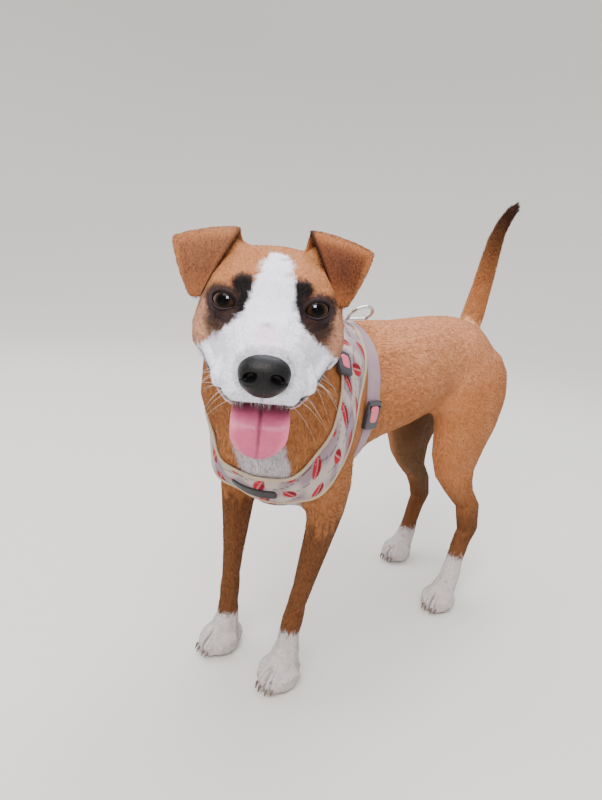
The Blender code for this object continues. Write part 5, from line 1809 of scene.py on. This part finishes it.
# ---- fittings
def plasticMaterial(name, colour, rough):
    # moulded plastic: even, slightly satin, with a very fine spark-eroded grain of 0.4 mm
    material, shader = newMaterial(name)
    where = add(material, "ShaderNodeTexCoord").outputs["Object"]
    grain = add(material, "ShaderNodeTexNoise", {"Vector": where}, Scale=2500.0, Detail=2.0).outputs["Fac"]
    satin = add(material, "ShaderNodeMapRange", {"Value": grain}, To_Min=rough - 0.06, To_Max=rough + 0.08)
    bump = add(material, "ShaderNodeBump", {"Height": grain}, Strength=0.15, Distance=0.0002)
    links = {"Roughness": satin.outputs["Result"], "Normal": bump.outputs["Normal"]}
    wire(material, shader, links, Base_Color=rgba(colour))
    return material


darkPlastic = plasticMaterial("darkAcetal", "#33343A", 0.42)
pinkPlastic = plasticMaterial("pinkAcetal", "#D9607A", 0.38)
labelRubber = plasticMaterial("blackRubber", "#17171A", 0.55)


def squared(value, power):
    # a sine or cosine raised to a power with its sign kept
    return np.sign(value) * np.abs(value) ** power


def roundedBox(name, half, power, place, material, slot):
    # a superellipsoid: each direction's sine and cosine raised to a small power squares the ball off
    rows, cols = 40, 64
    up = np.linspace(-math.pi / 2, math.pi / 2, rows)[:, None]
    turn = np.linspace(0, 2 * math.pi, cols, endpoint=False)[None, :]
    wide = squared(np.cos(up), power)
    x, y = wide * squared(np.cos(turn), power), wide * squared(np.sin(turn), power)
    x, y, z = np.broadcast_arrays(x, y, squared(np.sin(up), power))
    points = np.stack([x * half[0], y * half[1], z * half[2]], -1)[1:-1].reshape(-1, 3)
    return closed(piece(name, moved(place, points), gridFaces(rows - 2, cols, False, True), material, slot))


def closestTo(place, points):
    # row and column of the grid's point that is nearest to the place
    return np.unravel_index(np.argmin(np.linalg.norm(points - place, axis=2)), points.shape[:2])


def seatOf(node, points, normals, height):
    # the fitting's frame: its middle on the strap's outer face, X across the strap, Y along it, Z outwards
    middle = nodeMiddle(node)
    i, j = closestTo(middle, points)
    out = Vector(normals[i, j])
    along = Vector(points[(i + 6) % len(points), j] - points[i - 6, j]).normalized()
    out = (out - along * out.dot(along)).normalized()
    across = along.cross(out)
    seat = Matrix((across, along, out)).transposed().to_4x4()
    off = out.dot(Vector(middle) - Vector(points[i, j]))
    seat.translation = Vector(middle) + out * (height - off)
    return seat


# each part of a buckle: half size and place as shares of the buckle's, squareness, and whether it is pink
bucklePlan = {
    "Housing": ((1.0, 0.62, 1.0), (0.0, -0.22, 0.0), 0.35, False),
    "Bar": ((0.98, 0.16, 0.75), (0.0, 0.80, 0.0), 0.40, False),
    "LeftLug": ((0.13, 0.30, 0.7), (-0.93, 0.42, 0.0), 0.6, False),
    "RightLug": ((0.13, 0.30, 0.7), (0.93, 0.42, 0.0), 0.6, False),
    "Release": ((0.60, 0.52, 0.55), (0.0, 0.12, 0.62), 0.5, True),
}


def makeBuckle(name, node, place, size):
    # a dark housing with two side lugs, a bar at one end and a pink release set into it
    size = np.array(size)
    for part, (half, at, power, pink) in bucklePlan.items():
        seat = place @ Matrix.Translation(size * at)
        plastic = pinkPlastic if pink else darkPlastic
        obj = roundedBox(name + part, size * half, power, seat, plastic, "buckle")
        if part == "Housing":
            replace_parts(obj, node)


neckSeat = seatOf("neck_buckle", bandPoints, bandNormals, 0.0052)
girthSeat = seatOf("girth_buckle", girthPoints, girthNormals, 0.0040)
makeBuckle("neckBuckle", "neck_buckle", neckSeat, (0.0085, 0.0125, 0.0026))
makeBuckle("girthBuckle", "girth_buckle", girthSeat, (0.0105, 0.0155, 0.0028))
labelPlan = {"halfLong": 0.0150, "halfWide": 0.0052, "thick": 0.0007}


def makeLabel():
    # a bare black patch with rounded corners, bent over the band
    i, j = closestTo(nodeMiddle("label"), bandPoints)
    j = min(j, int(0.60 * bandPoints.shape[1]))
    span = int(labelPlan["halfLong"] / np.linalg.norm(bandPoints[1, j] - bandPoints[0, j]))
    rows = np.arange(i - span, i + span + 1) % len(bandPoints)
    centre = bandPoints[rows, j] + bandNormals[rows, j] * (bandHeight[j] + 0.0006)
    side = unit(bandPoints[rows, min(j + 3, bandPoints.shape[1] - 1)] - bandPoints[rows, max(j - 3, 0)])
    s = np.linspace(-1, 1, len(rows))
    half = labelPlan["halfWide"] * np.clip(1 - np.clip((np.abs(s) - 0.88) / 0.12, 0, 1) ** 2, 0.0, 1) ** 0.5
    half = np.maximum(half, 0.0012)
    w = np.linspace(-1, 1, 16)
    points = centre[:, None] + side[:, None] * (half[:, None] * w[None, :])[..., None]
    normals = np.repeat(bandNormals[rows, j][:, None], 16, 1)
    height = labelPlan["thick"] - 0.0003 * np.abs(w) ** 8
    obj = stripPiece("bareLabel", points, normals, height, -0.0008, labelRubber, "label", False)
    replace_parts(obj, "label")
    points, normals = points[3:-3], normals[3:-3]
    for name, column in (("Upper", 1), ("Lower", -2)):
        high = labelPlan["thick"]
        stitches(f"label{name}Stitches", points, normals, column, high, darkPlastic, "label", labelThread)


makeLabel()


def steelMaterial():
    # bright nickel plate on bent wire, with fine draw marks 1.4 mm long
    material, shader = newMaterial("nickelPlatedSteel")
    where = add(material, "ShaderNodeTexCoord").outputs["Object"]
    marks = add(material, "ShaderNodeTexNoise", {"Vector": where}, Scale=700.0, Detail=3.0)
    rough = add(material, "ShaderNodeMapRange", {"Value": marks.outputs["Fac"]}, To_Min=0.14, To_Max=0.30)
    wire(material, shader, {"Roughness": rough.outputs["Result"]}, Base_Color=rgba("#C9C8C6"), Metallic=1.0)
    return material


def refinish(node, material):
    # a CAD node keeps its mesh and takes another finish
    node.data.materials.clear()
    node.data.materials.append(material)


refinish(frame["nodes"]["d_ring"], steelMaterial())


def hornMaterial():
    # claw horn, dark and half clear, with growth bands about 1.2 mm apart
    material, shader = newMaterial("clawHorn")
    where = add(material, "ShaderNodeTexCoord").outputs["Object"]
    bands = add(material, "ShaderNodeTexNoise", {"Vector": where}, Scale=850.0, Detail=2.0)
    colours = add(material, "ShaderNodeValToRGB", {"Fac": bands.outputs["Fac"]})
    setStops(colours, [(0.3, "#4A3B33"), (0.7, "#75645A")])
    wire(material, shader, {"Base Color": colours.outputs["Color"]}, Roughness=0.38)
    return material


clawHorn = hornMaterial()
for name, node in frame["nodes"].items():
    if "_claw_" in name:
        refinish(node, clawHorn)
print("fittings made")

# ---- floor and soft studio light
def stageMaterial():
    # matt painted board
    material, shader = newMaterial("paleMattBoard")
    wire(material, shader, Base_Color=rgba("#D9D6D1"), Roughness=0.9)
    return material


stagePlan = {"flat": 2.0, "curl": 1.6, "wall": 2.4}


def makeStage():
    # a round floor that curls up all round into a low wall, turned about the middle
    flat, curl, wall = (stagePlan[k] for k in ("flat", "curl", "wall"))
    bend = np.linspace(0, math.pi / 2, 40)[1:]
    reach = np.concatenate([np.linspace(0.01, flat, 12), flat + curl * np.sin(bend), [flat + curl]])
    reach = reach[:, None]
    high = np.concatenate([np.zeros(12), curl * (1 - np.cos(bend)), [wall]])[:, None]
    turn = np.linspace(0, 2 * math.pi, 128, endpoint=False)[None, :]
    places = np.broadcast_arrays(reach * np.cos(turn), reach * np.sin(turn), high)
    points = np.stack(places, -1).reshape(-1, 3)
    floor = piece("floor", points, gridFaces(len(reach), 128, wrapCols=True), stageMaterial(), None)
    work = bmesh.new()
    work.from_mesh(floor.data)
    inner = [e for e in work.edges if e.is_boundary and e.verts[0].co.z < 0.1]
    bmesh.ops.holes_fill(work, edges=inner, sides=0)
    work.to_mesh(floor.data)
    work.free()


def softBox(name, at, towards, size, power, colour):
    # a rectangular lamp of so many watts that faces a place
    light = bpy.data.lights.new(name, "AREA")
    light.shape = "RECTANGLE"
    light.size, light.size_y = size
    light.energy = power
    light.color = linear(colour)
    obj = bpy.data.objects.new(name, light)
    bpy.context.scene.collection.objects.link(obj)
    obj.location = at
    obj.visible_camera = False
    obj.rotation_euler = (Vector(towards) - Vector(at)).to_track_quat("-Z", "Y").to_euler()
    return obj


# where each lamp stands and looks, its size, its power in watts and its colour
lampPlan = {
    "keyLight": ((0.7, -1.2, 1.9), (0, 0, 0.25), (1.4, 1.1), 50, "#FFF9F2"),
    "skyLight": ((-0.4, 0.6, 2.4), (0, 0, 0.25), (1.8, 1.8), 60, "#F4F7FF"),
    "fillLight": ((-1.7, -0.9, 0.9), (0, 0, 0.25), (1.4, 1.4), 14, "#FFFFFF"),
    "catchLight": ((0.81, -0.93, 0.97), (0.05, -0.2, 0.37), (0.36, 0.31), 55, "#E4EEFF"),
}
makeStage()
lamps = {name: softBox(name, *plan) for name, plan in lampPlan.items()}
catchLight = lamps["catchLight"]
catchLight.visible_diffuse = False
eyesOnly = bpy.data.collections.new("eyesOnly")     # the catch light shines on the eyeballs alone
for side in ("left", "right"):
    eyesOnly.objects.link(bpy.data.objects[f"{side}Eyeball"])
catchLight.light_linking.receiver_collection = eyesOnly
world = bpy.data.worlds.new("studio")
bpy.context.scene.world = world
world.use_nodes = True
background = world.node_tree.nodes["Background"]
background.inputs["Color"].default_value = rgba("#ECEEF2")
background.inputs["Strength"].default_value = 1.3
print("stage lit")
